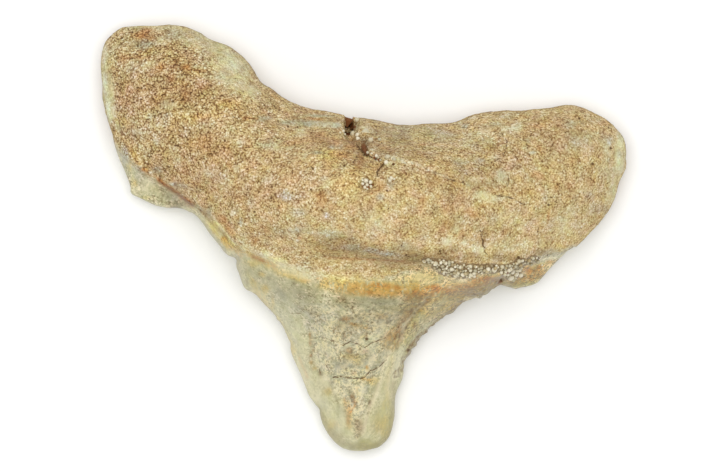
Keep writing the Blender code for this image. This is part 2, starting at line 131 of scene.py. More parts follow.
# Pinholes and small pits: x, y, radius, depth
PITS = (
    (18.9, 10.5, 0.1, 0.1), (21.65, 7.9, 0.11, 0.1), (20.0, 6.5, 0.1, 0.1), (16.1, 2.9, 0.1, 0.12),
    (15.2, 0.6, 0.07, 0.08), (8.6, 4.85, 0.1, 0.08), (-20.15, 18.4, 0.11, 0.12), (0.3, -8.75, 0.14, 0.14),
    (-1.62, 6.25, 0.09, 0.1), (-4.5, 4.2, 0.07, 0.08), (-9.4, 2.3, 0.08, 0.08), (12.1, -3.65, 0.15, 0.22),
    (2.6, 6.4, 0.11, 0.12), (-6.5, 9.72, 0.1, 0.1), (-5.7, 9.68, 0.07, 0.08), (-5.45, 9.75, 0.06, 0.06),
    (5.4, 6.0, 0.07, 0.06), (7.8, 5.0, 0.07, 0.06), (10.25, 6.4, 0.08, 0.06), (3.3, -0.6, 0.07, 0.06),
    (3.7, -1.4, 0.08, 0.06), (-19.7, 16.85, 0.09, 0.07), (-19.45, 16.9, 0.07, 0.06),
    (6.6, -1.1, 0.08, 0.08), (-16.5, 11.9, 0.1, 0.08), (2.05, 4.1, 0.07, 0.06), (3.6, 5.1, 0.08, 0.06),
    (-0.45, 7.95, 0.09, 0.1), (0.3, 7.3, 0.12, 0.12), (1.05, 6.9, 0.08, 0.08), (1.45, 6.8, 0.08, 0.08),
    (-19.3, 13.1, 0.08, 0.06), (4.85, -9.1, 0.13, 0.12), (4.0, -9.8, 0.1, 0.1), (13.5, -1.65, 0.12, 0.08),
    (16.1, -1.45, 0.08, 0.06),
)
# Vessel holes of the root, which sand fills: x, y, radius, depth
VESSEL_HOLES = ((0.3, 4.65, 0.6, 0.42), (2.4, 5.05, 0.42, 0.28))
# The cleft in the root's edge and the channel below it: points, half width, depth
CLEFT = (((-1.2, 10.9), (-1.2, 10.3), (-1.2, 9.8), (-1.25, 9.35)), 0.37, 1.0)
CHANNEL = (((0.0, 8.75), (0.05, 8.2), (0.1, 7.7), (0.3, 7.35)), 0.34, 0.36)

# Stains of the inner face, with painted shade as the shade entries: x, y, half size across, half size along,
# strength
BLOTS = {
    "shade": (
        (-5.2, -5.0, 1.6, 1.0, 0.3), (-16.1, 3.0, 1.1, 0.34, 0.9), (-17.7, 4.3, 1.1, 0.34, 0.3),
        (10.2, -4.7, 1.3, 0.4, 0.8), (13.2, -4.0, 0.9, 0.35, 0.7), (15.2, -3.3, 0.9, 0.34, 0.8),
        (14.6, -2.9, 1.0, 0.5, 0.4), (9.6, -4.2, 2.0, 0.4, 0.3), (-1.2, -7.1, 0.9, 0.5, 0.35),
        (-1.2, -9.7, 0.4, 0.35, 0.4), (2.7, -8.7, 0.8, 0.9, 0.1), (-2.0, -0.2, 1.4, 0.6, 0.5),
        (9.5, 5.4, 3.6, 1.6, 0.4), (16.0, 8.0, 3.0, 2.0, 0.25), (10.6, 7.9, 1.4, 0.9, 0.3),
        (0.2, -18.2, 1.6, 0.4, 0.5), (-2.3, -17.2, 0.7, 0.6, 0.4), (3.0, -2.3, 1.6, 0.35, 0.4),
        (-1.1, 7.6, 1.2, 0.7, 0.3), (-0.2, 8.2, 0.6, 0.8, 0.5), (3.9, 8.0, 1.6, 0.5, 0.35),
        (-0.4, -16.3, 0.5, 0.8, 0.3), (0.0, -10.2, 0.7, 0.6, 0.3), (0.3, -7.2, 2.4, 0.9, 0.5),
        (-1.0, -5.4, 1.3, 0.45, 0.5),
    ),
    "gold": (
        (4.2, -3.45, 1.2, 0.5, 0.8), (6.0, -3.3, 1.3, 0.5, 0.8), (7.6, -3.7, 1.0, 0.4, 0.7),
        (-8.85, -3.1, 0.35, 0.25, 0.7), (-8.55, -4.4, 0.3, 0.45, 0.8), (-7.9, -5.6, 0.2, 0.7, 0.5),
        (-1.0, -10.4, 0.9, 0.5, 0.4), (0.9, -12.5, 0.8, 0.35, 0.5), (-3.1, -13.5, 0.4, 0.4, 0.6),
        (15.2, -2.6, 1.4, 0.45, 0.8), (14.0, -3.6, 0.9, 0.4, 0.8), (-8.0, -2.0, 1.2, 0.4, 0.4),
        (-11.8, -0.5, 0.5, 0.6, 0.7), (-13.0, 1.1, 0.7, 0.5, 0.6), (-9.6, -2.1, 0.9, 0.35, 0.5),
        (2.8, -9.0, 0.9, 0.7, 0.3), (-20.5, 6.2, 0.25, 0.4, 0.7), (1.6, -16.4, 0.9, 0.9, 0.5),
        (-19.9, 4.85, 0.2, 0.35, 0.7), (-2.8, -16.4, 0.3, 0.6, 0.4), (13.9, -3.4, 0.6, 0.3, 0.5),
        (-1.0, 4.4, 1.6, 0.8, 0.25), (-3.0, 6.9, 1.3, 0.6, 0.4),
    ),
    "amber": (
        (-0.6, -4.1, 0.25, 0.26, 0.3), (0.5, -4.6, 0.4, 0.22, 0.5), (1.35, -4.05, 0.3, 0.2, 0.8),
        (2.2, -4.2, 0.2, 0.22, 0.5), (3.0, -4.2, 0.35, 0.26, 0.7), (4.5, -4.6, 0.5, 0.2, 0.3),
        (6.2, -4.1, 0.35, 0.2, 0.5), (-2.85, -3.9, 0.2, 0.12, 0.5), (-3.95, -3.45, 0.14, 0.12, 0.9),
        (-3.3, -3.45, 0.1, 0.1, 0.7), (-2.1, -4.25, 0.18, 0.12, 0.3), (-1.2, -3.9, 0.14, 0.1, 0.6),
        (10.6, -3.55, 1.3, 0.34, 0.5), (9.0, -4.0, 0.9, 0.26, 0.4), (7.0, -4.3, 1.6, 0.35, 0.2),
        (14.5, -2.7, 0.5, 0.24, 0.6), (15.4, -2.45, 0.4, 0.16, 0.6), (16.3, -1.95, 0.3, 0.14, 0.5),
        (-19.05, 6.0, 0.22, 0.13, 0.9), (-17.65, 4.95, 0.2, 0.14, 0.9), (-12.1, 0.05, 0.3, 0.16, 0.8),
        (-1.5, -6.95, 0.5, 0.25, 0.5), (-1.2, -9.65, 0.26, 0.26, 0.5), (2.4, -8.3, 0.9, 0.8, 0.15),
        (0.3, -11.2, 0.16, 0.2, 0.5), (-4.65, -8.5, 0.1, 0.3, 0.8), (4.5, -7.6, 0.22, 0.4, 0.5),
        (-3.5, 3.4, 0.4, 0.6, 0.3), (-15.3, 14.8, 0.5, 0.3, 0.5), (-19.3, 17.9, 0.8, 0.3, 0.4),
        (-11.9, 1.2, 0.5, 0.35, 0.2),
    ),
    "rust": (
        (-19.3, 17.9, 1.0, 0.5, 0.85), (-18.6, 17.5, 0.5, 0.3, 0.6), (-21.1, 15.8, 0.4, 0.4, 0.6),
        (-19.5, 15.8, 1.2, 0.22, 0.5), (-17.5, 14.9, 0.5, 0.4, 0.75), (-16.4, 15.2, 0.6, 0.5, 0.6),
        (-15.3, 14.8, 0.5, 0.4, 0.85), (-15.4, 13.0, 0.35, 0.8, 0.7), (-16.8, 13.9, 0.3, 0.5, 0.6),
        (-13.8, 8.6, 1.1, 0.5, 0.45), (-14.2, 8.0, 0.8, 0.4, 0.45), (-15.4, 6.0, 0.4, 0.5, 0.55),
        (-16.6, 14.7, 2.1, 0.8, 0.3), (-14.7, 12.7, 2.3, 1.2, 0.25), (-18.2, 12.8, 2.3, 1.9, 0.25),
        (-13.6, 13.4, 1.2, 0.5, 0.35), (-12.2, 7.6, 1.4, 0.7, 0.3), (-4.0, 8.7, 1.3, 0.7, 0.55),
        (-2.5, 8.2, 0.7, 0.5, 0.4), (-1.0, 7.9, 0.7, 0.5, 0.5), (-1.5, 7.0, 1.0, 0.5, 0.5),
        (5.0, 7.0, 0.9, 0.5, 0.35), (-6.0, 8.35, 0.9, 0.18, 0.55), (-4.2, 10.45, 1.0, 0.13, 0.8),
        (-5.2, 11.0, 1.3, 0.15, 0.5), (-3.2, 6.5, 0.5, 0.4, 0.4), (-0.25, 6.7, 0.35, 0.9, 0.65),
        (-0.9, 8.3, 0.5, 0.7, 0.4), (-3.5, 3.4, 0.5, 0.7, 0.5), (-2.7, 2.8, 0.4, 0.4, 0.5),
        (-12.2, 1.7, 0.4, 0.5, 0.7), (-11.5, 0.8, 0.35, 0.5, 0.6), (-9.5, -0.2, 0.4, 0.4, 0.55),
        (-8.2, 0.5, 0.9, 0.5, 0.45), (5.2, 8.15, 0.4, 0.12, 0.8), (2.3, 7.8, 0.9, 0.25, 0.4),
        (5.8, 4.9, 0.5, 0.9, 0.5), (4.1, 2.4, 0.8, 0.5, 0.4), (5.0, 3.0, 0.4, 0.4, 0.4),
        (7.3, 2.8, 0.8, 0.5, 0.4), (7.0, 1.3, 0.7, 0.6, 0.55), (9.0, 2.3, 0.6, 0.4, 0.55),
        (9.8, 2.0, 0.8, 0.4, 0.5), (10.2, 2.8, 0.5, 0.2, 0.5), (8.5, 0.5, 0.4, 0.5, 0.5),
        (10.0, 0.0, 0.4, 0.3, 0.4), (1.6, 4.6, 0.45, 0.45, 0.6), (3.8, 5.7, 0.5, 0.4, 0.4),
        (15.4, 7.8, 0.25, 0.3, 0.75), (16.8, 4.5, 0.3, 0.2, 0.65), (19.7, 5.0, 0.4, 0.4, 0.45),
        (18.0, 4.4, 0.5, 0.3, 0.4), (15.2, 5.4, 0.9, 0.3, 0.55), (13.6, 6.7, 0.25, 0.18, 0.7),
        (11.7, 7.9, 0.3, 0.3, 0.5), (16.05, 1.9, 0.13, 0.6, 0.8), (12.4, 0.6, 0.5, 0.4, 0.3),
        (21.2, 10.1, 0.6, 0.22, 0.5), (15.5, 10.3, 1.3, 0.6, 0.3), (16.4, 9.6, 1.2, 1.1, 0.2),
        (-20.8, 12.2, 0.9, 2.0, 0.3), (-14.5, 6.3, 4.6, 3.0, 0.25), (-8.0, 4.6, 4.0, 2.6, 0.2),
        (18.6, 6.8, 0.5, 0.4, 0.35), (-5.45, 0.0, 0.2, 0.13, 0.9), (0.75, 3.9, 0.14, 0.12, 0.9),
        (-2.5, 5.65, 0.18, 0.12, 0.8), (-8.6, 11.0, 0.4, 0.3, 0.5), (-4.6, -9.1, 0.14, 0.3, 0.7),
        (-4.3, -9.8, 0.13, 0.13, 0.7), (-4.6, -10.2, 0.13, 0.13, 0.7), (-1.0, -13.8, 0.13, 0.2, 0.7),
    ),
    "ochre": (
        (-18.5, 16.5, 1.2, 0.3, 0.6), (-22.4, 15.2, 0.5, 1.0, 0.5), (-11.6, 11.6, 1.6, 0.7, 0.7),
        (-14.0, 10.6, 1.0, 0.25, 0.7), (-15.8, 10.5, 1.6, 0.4, 0.55), (-13.9, 10.7, 0.8, 0.25, 0.5),
        (-2.0, 7.3, 1.0, 0.6, 0.6), (-2.0, 8.3, 0.8, 0.5, 0.5), (-0.6, 5.9, 0.9, 0.6, 0.4),
        (-3.0, 10.2, 0.9, 0.3, 0.4), (5.0, 8.6, 1.4, 0.6, 0.25), (-1.2, 4.7, 0.8, 0.9, 0.45),
        (7.0, 6.3, 1.2, 0.7, 0.6), (8.2, 4.7, 0.6, 0.3, 0.55), (0.9, 6.0, 0.6, 0.4, 0.5),
        (-15.4, 12.2, 1.6, 0.6, 0.3), (10.0, 10.0, 1.0, 0.5, 0.35), (15.9, 10.4, 0.6, 0.3, 0.4),
        (11.9, 2.6, 0.5, 0.3, 0.3), (-3.5, -1.1, 1.6, 0.35, 0.45), (-10.95, 1.75, 0.25, 0.2, 0.7),
        (5.5, -0.8, 0.8, 0.3, 0.3), (4.9, -2.55, 1.4, 0.3, 0.7), (2.8, -8.4, 0.9, 1.0, 0.15),
        (-1.0, -10.4, 0.5, 0.3, 0.2), (14.5, -3.2, 1.0, 0.4, 0.5), (0.2, 9.05, 0.3, 0.2, 0.6),
        (-12.6, 4.0, 1.4, 0.6, 0.2),
    ),
    "cream": (
        (-11.4, 14.6, 1.9, 1.8, 0.8), (-12.8, 16.6, 1.5, 0.9, 0.7), (-14.6, 17.3, 1.4, 0.5, 0.5),
        (-18.0, 17.3, 0.5, 0.25, 0.6), (-21.9, 17.0, 0.6, 0.8, 0.35), (-22.0, 12.4, 0.26, 1.6, 0.75),
        (-21.4, 9.7, 0.4, 0.4, 0.7), (-16.9, 11.6, 0.8, 0.32, 0.85), (-19.6, 9.3, 0.45, 0.3, 0.75),
        (-18.0, 8.4, 0.25, 0.25, 0.85), (-16.6, 7.7, 0.5, 0.4, 0.45), (-16.0, 6.8, 0.4, 0.4, 0.5),
        (-13.9, 9.9, 0.3, 0.2, 0.65), (-10.6, 8.4, 0.3, 0.3, 0.75), (-10.9, 6.0, 0.3, 0.3, 0.6),
        (-13.5, 5.8, 0.8, 0.5, 0.4), (-12.0, 5.0, 0.8, 0.6, 0.35), (-18.6, 15.2, 0.6, 0.3, 0.6),
        (-20.0, 15.3, 0.8, 0.5, 0.45), (-5.3, 9.1, 0.5, 0.4, 0.65), (-8.0, 8.0, 0.9, 0.5, 0.55),
        (-6.4, 7.8, 0.4, 0.25, 0.75), (-5.0, 7.3, 0.3, 0.3, 0.6), (-3.3, 4.9, 0.4, 0.5, 0.55),
        (-8.4, 5.0, 0.5, 0.4, 0.4), (0.2, 9.6, 0.5, 0.4, 0.7), (9.3, 4.9, 0.7, 0.4, 0.6),
        (10.3, 3.7, 0.6, 0.4, 0.9), (11.5, 3.5, 0.8, 0.3, 0.65), (9.2, 4.3, 0.4, 0.4, 0.55),
        (11.9, 5.5, 0.6, 0.5, 0.75), (11.3, 7.0, 0.5, 0.3, 0.5), (13.4, 9.6, 0.6, 0.5, 0.75),
        (12.4, 9.6, 0.4, 0.3, 0.5), (1.5, 3.6, 0.3, 0.4, 0.5), (7.9, 0.9, 0.4, 0.4, 0.65),
        (7.2, -0.3, 0.5, 0.35, 0.85), (8.7, -0.3, 0.3, 0.25, 0.85), (9.9, -1.0, 0.5, 0.4, 0.6),
        (5.2, 0.1, 0.4, 0.3, 0.45), (13.7, 1.0, 0.5, 0.4, 0.45), (1.0, 1.4, 1.1, 1.0, 0.45),
        (22.4, 7.4, 0.45, 1.8, 0.95), (21.3, 6.0, 0.8, 0.8, 0.4), (9.6, 8.5, 1.4, 0.7, 0.35),
        (-22.2, 14.0, 0.3, 0.9, 0.5), (21.3, 7.9, 0.45, 1.2, 0.55), (21.8, 4.9, 0.5, 0.7, 0.45),
        (15.1, 6.0, 0.4, 0.15, 0.7), (17.5, 1.2, 1.2, 0.9, 0.4), (12.4, 1.8, 1.2, 0.8, 0.3),
        (-10.5, -0.8, 0.4, 0.4, 0.6), (10.5, 9.3, 0.7, 0.4, 0.4), (13.0, -0.6, 2.4, 0.5, 0.25),
        (18.2, 2.4, 0.5, 0.4, 0.4), (-5.6, 2.0, 0.8, 0.6, 0.35), (-9.8, 12.9, 0.9, 0.7, 0.8),
        (-2.7, 9.9, 0.9, 0.25, 0.5), (1.5, -10.0, 0.5, 0.5, 0.5),
    ),
    "grey": (
        (-19.4, 17.0, 1.0, 0.42, 0.7), (-16.6, 17.6, 1.2, 0.5, 0.5), (-5.0, 10.05, 2.2, 0.3, 0.85),
        (-2.3, 9.8, 0.5, 0.25, 0.6), (-8.5, 10.4, 0.7, 0.25, 0.6), (-3.7, 10.75, 1.4, 0.12, 0.7),
        (-3.9, 7.4, 0.6, 0.12, 0.6), (8.4, 6.6, 0.8, 0.4, 0.6), (10.2, 6.75, 0.4, 0.15, 0.6),
        (3.2, 9.3, 1.6, 0.6, 0.4), (6.5, 9.0, 1.6, 0.7, 0.35), (2.3, 4.4, 0.4, 0.4, 0.35),
        (19.0, 8.7, 1.6, 1.0, 0.35), (18.0, 9.9, 0.6, 0.3, 0.5), (14.3, 8.4, 0.22, 0.22, 0.6),
        (16.2, -1.25, 1.0, 0.3, 0.5), (18.4, -0.9, 0.7, 0.3, 0.3), (-5.6, 0.7, 1.6, 0.4, 0.55),
        (-2.6, 0.4, 1.3, 0.4, 0.5), (-18.0, 5.9, 0.4, 0.4, 0.6), (-16.2, 4.6, 0.9, 0.3, 0.55),
        (14.8, 7.5, 0.3, 0.15, 0.5), (3.6, -0.8, 1.0, 0.4, 0.45), (11.2, 9.9, 1.0, 0.3, 0.3),
        (-17.0, 3.8, 1.2, 0.6, 0.5), (-16.0, 2.9, 0.9, 0.22, 0.7), (12.9, -4.0, 0.4, 0.3, 0.6),
        (-6.5, -4.7, 1.8, 1.2, 0.35), (0.8, -5.6, 3.7, 0.6, 0.45), (-1.0, -10.7, 2.0, 1.2, 0.35),
        (-0.9, -11.15, 1.1, 0.14, 0.7), (-1.2, -13.5, 0.4, 0.5, 0.7), (20.6, 2.6, 0.9, 0.6, 0.3),
        (-13.4, 2.4, 0.2, 0.5, 0.6), (10.6, -3.5, 1.0, 0.4, 0.3),
    ),
    "blue": (
        (-5.5, -6.2, 2.2, 1.6, 0.3), (-20.9, 7.0, 0.35, 1.3, 0.7), (-19.7, 5.5, 0.3, 0.6, 0.6),
        (-2.6, 7.9, 0.32, 0.22, 0.6), (-1.9, 8.0, 0.3, 0.28, 0.5), (-6.7, 3.8, 0.55, 0.5, 0.55),
        # The blue-grey at (2.2, -1.35), (-1.0, -0.75) and (0.8, -1.1) is partly painted shade on the slope
        # under the bulge
        (-5.2, 2.3, 0.5, 0.4, 0.4), (-3.2, 1.9, 0.3, 0.4, 0.6), (2.2, -1.35, 0.8, 0.25, 0.85),
        (-1.0, -0.75, 0.8, 0.28, 0.6), (0.8, -1.1, 0.9, 0.25, 0.65), (8.9, 9.8, 0.3, 0.25, 0.6),
        (-10.6, 1.5, 0.15, 0.3, 0.6), (-4.0, -7.0, 1.1, 1.1, 0.4), (1.5, -5.4, 1.5, 0.35, 0.4),
        (-3.8, -10.1, 0.3, 0.3, 0.6), (14.8, -1.8, 0.3, 0.2, 0.6), (19.9, 3.8, 0.4, 0.3, 0.4),
        (12.7, 10.6, 0.5, 0.3, 0.3), (-16.9, 10.7, 0.5, 0.3, 0.35), (1.5, 3.6, 0.25, 0.35, 0.4),
        (21.6, 8.5, 0.3, 0.4, 0.4), (1.2, 7.0, 0.25, 0.25, 0.6), (4.0, 2.6, 0.5, 0.5, 0.25),
        (-9.6, 3.3, 0.5, 0.5, 0.3), (-5.4, -6.2, 1.0, 0.4, 0.5), (-4.6, -7.4, 0.6, 0.9, 0.5),
        (1.3, -5.3, 0.9, 0.35, 0.3), (-7.4, -4.9, 0.8, 0.6, 0.4), (2.2, -6.9, 1.0, 0.4, 0.4),
        (-2.0, -11.1, 0.8, 0.4, 0.5), (-16.8, 3.5, 0.8, 0.4, 0.5), (-19.4, 5.2, 0.3, 0.8, 0.4),
    ),
    "rosy": (
        (-12.9, 4.7, 5.4, 2.0, 0.2), (-20.0, 12.2, 1.6, 1.6, 0.4), (-17.5, 9.5, 3.4, 1.5, 0.25),
        (-5.5, 4.7, 3.0, 1.6, 0.3), (9.2, 5.8, 0.8, 0.3, 0.6), (12.9, 6.2, 0.8, 0.7, 0.7),
        (11.2, 0.1, 0.4, 0.5, 0.5), (8.4, -1.2, 0.35, 0.22, 0.6), (-12.6, 7.0, 1.6, 1.2, 0.3),
        (-19.0, 14.3, 1.4, 0.7, 0.35), (0.4, 2.9, 0.8, 0.6, 0.3), (3.0, -0.6, 1.2, 0.4, 0.35),
        (-1.8, -5.2, 0.4, 0.3, 0.55), (3.9, -5.2, 0.5, 0.3, 0.55), (0.2, -9.8, 0.3, 0.2, 0.5),
        (-0.8, -11.7, 0.3, 0.2, 0.5), (-0.35, -16.3, 0.45, 0.8, 0.5), (17.4, 7.6, 1.6, 1.2, 0.2),
        (8.2, 3.4, 1.2, 0.6, 0.25), (-14.3, 13.4, 0.7, 0.5, 0.4), (15.0, 0.6, 1.2, 1.2, 0.2),
        (9.4, -4.7, 1.0, 0.4, 0.35),
    ),
    "brown": (
        (10.5, 0.0, 0.3, 0.9, 0.45), (10.3, 4.6, 0.7, 0.35, 0.4), (-3.5, 8.2, 0.9, 0.5, 0.22),
        (-3.0, 10.2, 0.8, 0.25, 0.25), (7.8, -0.95, 0.4, 0.25, 0.5), (6.8, -1.1, 0.5, 0.25, 0.5),
        (8.5, -1.6, 2.4, 0.35, 0.4), (12.4, -1.7, 1.3, 0.35, 0.45), (15.1, -1.2, 0.7, 0.22, 0.5),
        (-16.8, 12.0, 0.6, 0.3, 0.4), (-17.9, 14.3, 0.5, 0.3, 0.35), (-6.1, 10.62, 0.3, 0.08, 0.6),
        (0.2, 7.9, 0.35, 0.7, 0.5), (1.3, 6.9, 0.4, 0.25, 0.5), (-0.65, 10.0, 0.14, 0.4, 0.5),
        (2.6, 8.5, 0.5, 0.13, 0.35), (12.1, -3.7, 0.45, 0.3, 0.7), (14.0, -3.6, 0.9, 0.4, 0.22),
        (6.2, 5.65, 0.16, 0.12, 0.8), (10.4, 8.5, 0.18, 0.12, 0.6), (-1.2, 0.0, 0.3, 0.22, 0.5),
        (4.3, -1.6, 1.4, 0.22, 0.45), (-15.5, 12.1, 0.8, 0.5, 0.3), (5.6, 7.2, 0.9, 0.2, 0.3),
        (-1.5, -6.9, 0.4, 0.25, 0.4), (-2.2, -7.6, 0.35, 0.25, 0.4), (-1.5, -8.4, 0.3, 0.3, 0.6),
        (0.3, -8.5, 0.2, 0.35, 0.8), (4.85, -9.2, 0.3, 0.3, 0.5), (4.0, -9.8, 0.2, 0.2, 0.7),
        (-3.7, -11.8, 0.2, 0.2, 0.75), (-1.2, -9.5, 0.2, 0.12, 0.75), (-1.1, -9.9, 0.2, 0.12, 0.7),
        (-0.95, -14.2, 0.13, 0.15, 0.8), (0.6, -14.3, 0.15, 0.2, 0.75), (-1.0, -7.9, 1.6, 1.2, 0.3),
        (-16.3, 2.75, 0.6, 0.12, 0.45), (2.0, -7.2, 0.3, 0.2, 0.4), (-0.4, -12.6, 0.2, 0.1, 0.5),
        (-8.15, -3.5, 0.22, 0.2, 0.35), (-10.15, -3.9, 0.18, 0.34, 0.4), (-9.9, -4.4, 0.24, 0.12, 0.4),
        (4.3, -6.85, 0.1, 0.12, 0.7), (3.75, -7.75, 0.1, 0.14, 0.7), (3.15, -8.5, 0.1, 0.16, 0.7),
        (2.85, -9.3, 0.14, 0.1, 0.6), (2.1, -10.3, 0.12, 0.16, 0.6), (1.55, -8.6, 0.16, 0.1, 0.5),
        (-16.4, 4.75, 0.08, 0.12, 0.9), (-17.75, 5.3, 0.1, 0.24, 0.6), (-2.6, -12.5, 0.3, 0.2, 0.4),
        (-3.35, -10.1, 0.2, 0.12, 0.4), (-2.75, -10.45, 0.16, 0.1, 0.5), (-0.5, -10.95, 0.25, 0.07, 0.6),
        (-14.2, 2.4, 0.08, 0.16, 0.9), (-13.75, 2.0, 0.1, 0.2, 0.7), (0.6, -14.5, 0.14, 0.2, 0.5),
        (-1.9, -7.1, 0.3, 0.2, 0.5), (-0.9, -7.35, 0.3, 0.12, 0.5), (1.6, -8.9, 0.3, 0.07, 0.5),
    ),
    "orange": (
        (6.0, -4.6, 1.2, 0.5, 0.55), (-4.6, -10.8, 0.18, 0.2, 0.75), (-4.2, -11.4, 0.18, 0.2, 0.75),
        (0.3, -11.3, 0.2, 0.2, 0.8), (0.0, -12.2, 0.2, 0.15, 0.8), (0.35, -12.35, 0.35, 0.12, 0.75),
        (-3.2, -13.2, 0.35, 0.3, 0.35), (-2.4, -16.3, 0.3, 0.3, 0.3), (14.3, -2.75, 0.5, 0.3, 0.6),
        (15.3, -2.65, 0.6, 0.35, 0.85), (16.4, -2.1, 0.5, 0.3, 0.85), (10.5, -3.5, 1.2, 0.35, 0.25),
        (-12.1, 0.0, 0.35, 0.2, 0.8), (-19.05, 6.0, 0.24, 0.16, 1.0), (-17.65, 4.95, 0.22, 0.16, 1.0),
        (1.6, -6.8, 0.5, 0.3, 0.4), (-4.8, -3.6, 0.6, 0.2, 0.6),
    ),
    "pale": (
        (5.0, -3.4, 1.5, 0.4, 0.5), (8.0, -3.6, 1.5, 0.35, 0.3), (-1.2, -6.4, 0.22, 0.16, 1.0),
        (0.3, -8.68, 0.1, 0.1, 1.0), (-5.5, -10.5, 0.6, 1.6, 0.4), (-3.8, -11.0, 0.26, 0.2, 0.85),
        (0.7, -11.0, 0.26, 0.2, 0.85), (-8.2, 9.4, 0.16, 0.11, 1.0), (5.6, 5.85, 0.22, 0.09, 0.9),
        (6.7, 5.45, 0.34, 0.1, 0.9), (2.0, 6.5, 0.24, 0.18, 0.9), (3.4, 6.6, 0.25, 0.1, 0.85),
        (4.15, 6.5, 0.15, 0.09, 0.9), (10.8, 6.05, 0.13, 0.09, 0.8), (14.7, 7.4, 0.28, 0.13, 0.8),
        (14.0, 7.9, 0.15, 0.1, 0.8), (-11.2, 2.25, 0.33, 0.18, 0.9), (-0.2, 1.7, 0.12, 0.14, 0.9),
        (-1.45, 1.0, 0.11, 0.11, 0.8), (-18.5, 5.75, 0.2, 0.11, 0.9), (-16.7, 4.7, 0.13, 0.13, 0.8),
        (15.65, -2.3, 0.12, 0.1, 0.9), (15.9, -2.65, 0.18, 0.14, 0.7), (-18.9, 4.9, 0.7, 0.5, 0.5),
        # The pale at (-19.5, 4.35) and (-20.0, 4.1) is a painted highlight on the ridge of the wedge
        (-19.5, 4.35, 0.6, 0.28, 0.9), (-20.0, 4.1, 0.25, 0.2, 0.8), (-3.4, -12.4, 0.5, 0.7, 0.6),
        (-3.9, -10.1, 0.5, 0.35, 0.6), (-1.9, -16.0, 0.4, 0.7, 0.5), (-8.4, -1.35, 0.4, 0.25, 0.7),
        (2.9, 6.9, 0.4, 0.3, 0.5), (-6.9, 10.1, 0.2, 0.1, 0.7), (12.5, 6.5, 0.12, 0.1, 0.7),
        (-17.2, 14.5, 0.3, 0.12, 0.7), (7.0, -3.0, 0.7, 0.3, 0.4), (5.0, -5.95, 0.17, 0.15, 1.0),
        (4.5, -6.6, 0.13, 0.18, 1.0), (4.0, -7.15, 0.14, 0.18, 1.0), (3.6, -7.6, 0.18, 0.14, 1.0),
        (3.4, -8.1, 0.14, 0.17, 1.0), (3.45, -8.75, 0.22, 0.17, 1.0), (3.25, -9.05, 0.14, 0.12, 0.8),
        (2.5, -9.35, 0.12, 0.1, 0.8), (6.3, -4.9, 0.1, 0.14, 0.6), (7.5, -4.2, 0.15, 0.11, 0.9),
        (2.5, -4.45, 0.12, 0.12, 0.8), (3.6, -4.35, 0.12, 0.1, 0.8), (-9.0, -3.7, 0.22, 0.16, 1.0),
        (-8.45, -3.75, 0.14, 0.14, 0.7), (-7.45, -5.2, 0.14, 0.12, 0.7), (-6.7, -4.5, 0.1, 0.3, 0.6),
        (-5.7, -5.0, 0.1, 0.1, 0.7), (1.2, -6.95, 0.13, 0.1, 0.8), (0.75, -6.7, 0.22, 0.12, 0.6),
        (-5.3, -7.75, 0.13, 0.1, 0.7), (-2.4, -13.1, 0.3, 0.5, 0.6), (-1.55, -13.7, 0.2, 0.16, 0.8),
        (1.5, -7.9, 0.5, 0.5, 0.4), (-4.4, -8.6, 0.2, 0.7, 0.4), (-15.5, 2.9, 0.2, 0.12, 0.9),
        (-16.55, 4.7, 0.12, 0.14, 0.9), (-19.6, 4.2, 0.4, 0.1, 0.6), (12.6, -3.95, 0.3, 0.2, 0.4),
        (-1.2, -7.6, 0.2, 0.1, 0.5), (-0.2, -7.55, 0.14, 0.1, 0.5),
    ),
    "olive": (
        (2.0, -15.4, 0.7, 1.9, 0.5), (13.4, -3.7, 0.7, 0.5, 0.7), (15.3, -3.4, 0.8, 0.3, 0.6),
        (6.8, -6.3, 1.8, 0.6, 0.5), (0.4, -18.2, 1.3, 0.6, 0.6), (4.1, -5.8, 1.0, 0.5, 0.5),
        (-19.2, 3.6, 0.8, 0.2, 0.6), (-20.2, 5.0, 0.2, 0.6, 0.5), (14.2, -3.9, 1.3, 0.25, 0.75),
        (4.5, -7.5, 0.4, 0.7, 0.5), (3.9, -9.0, 0.4, 0.5, 0.5), (-9.0, -4.4, 0.7, 0.7, 0.3),
        (-3.6, -16.0, 0.6, 1.6, 0.25), (11.2, -4.4, 0.8, 0.3, 0.3), (5.3, 9.0, 1.0, 0.4, 0.25),
    ),
}
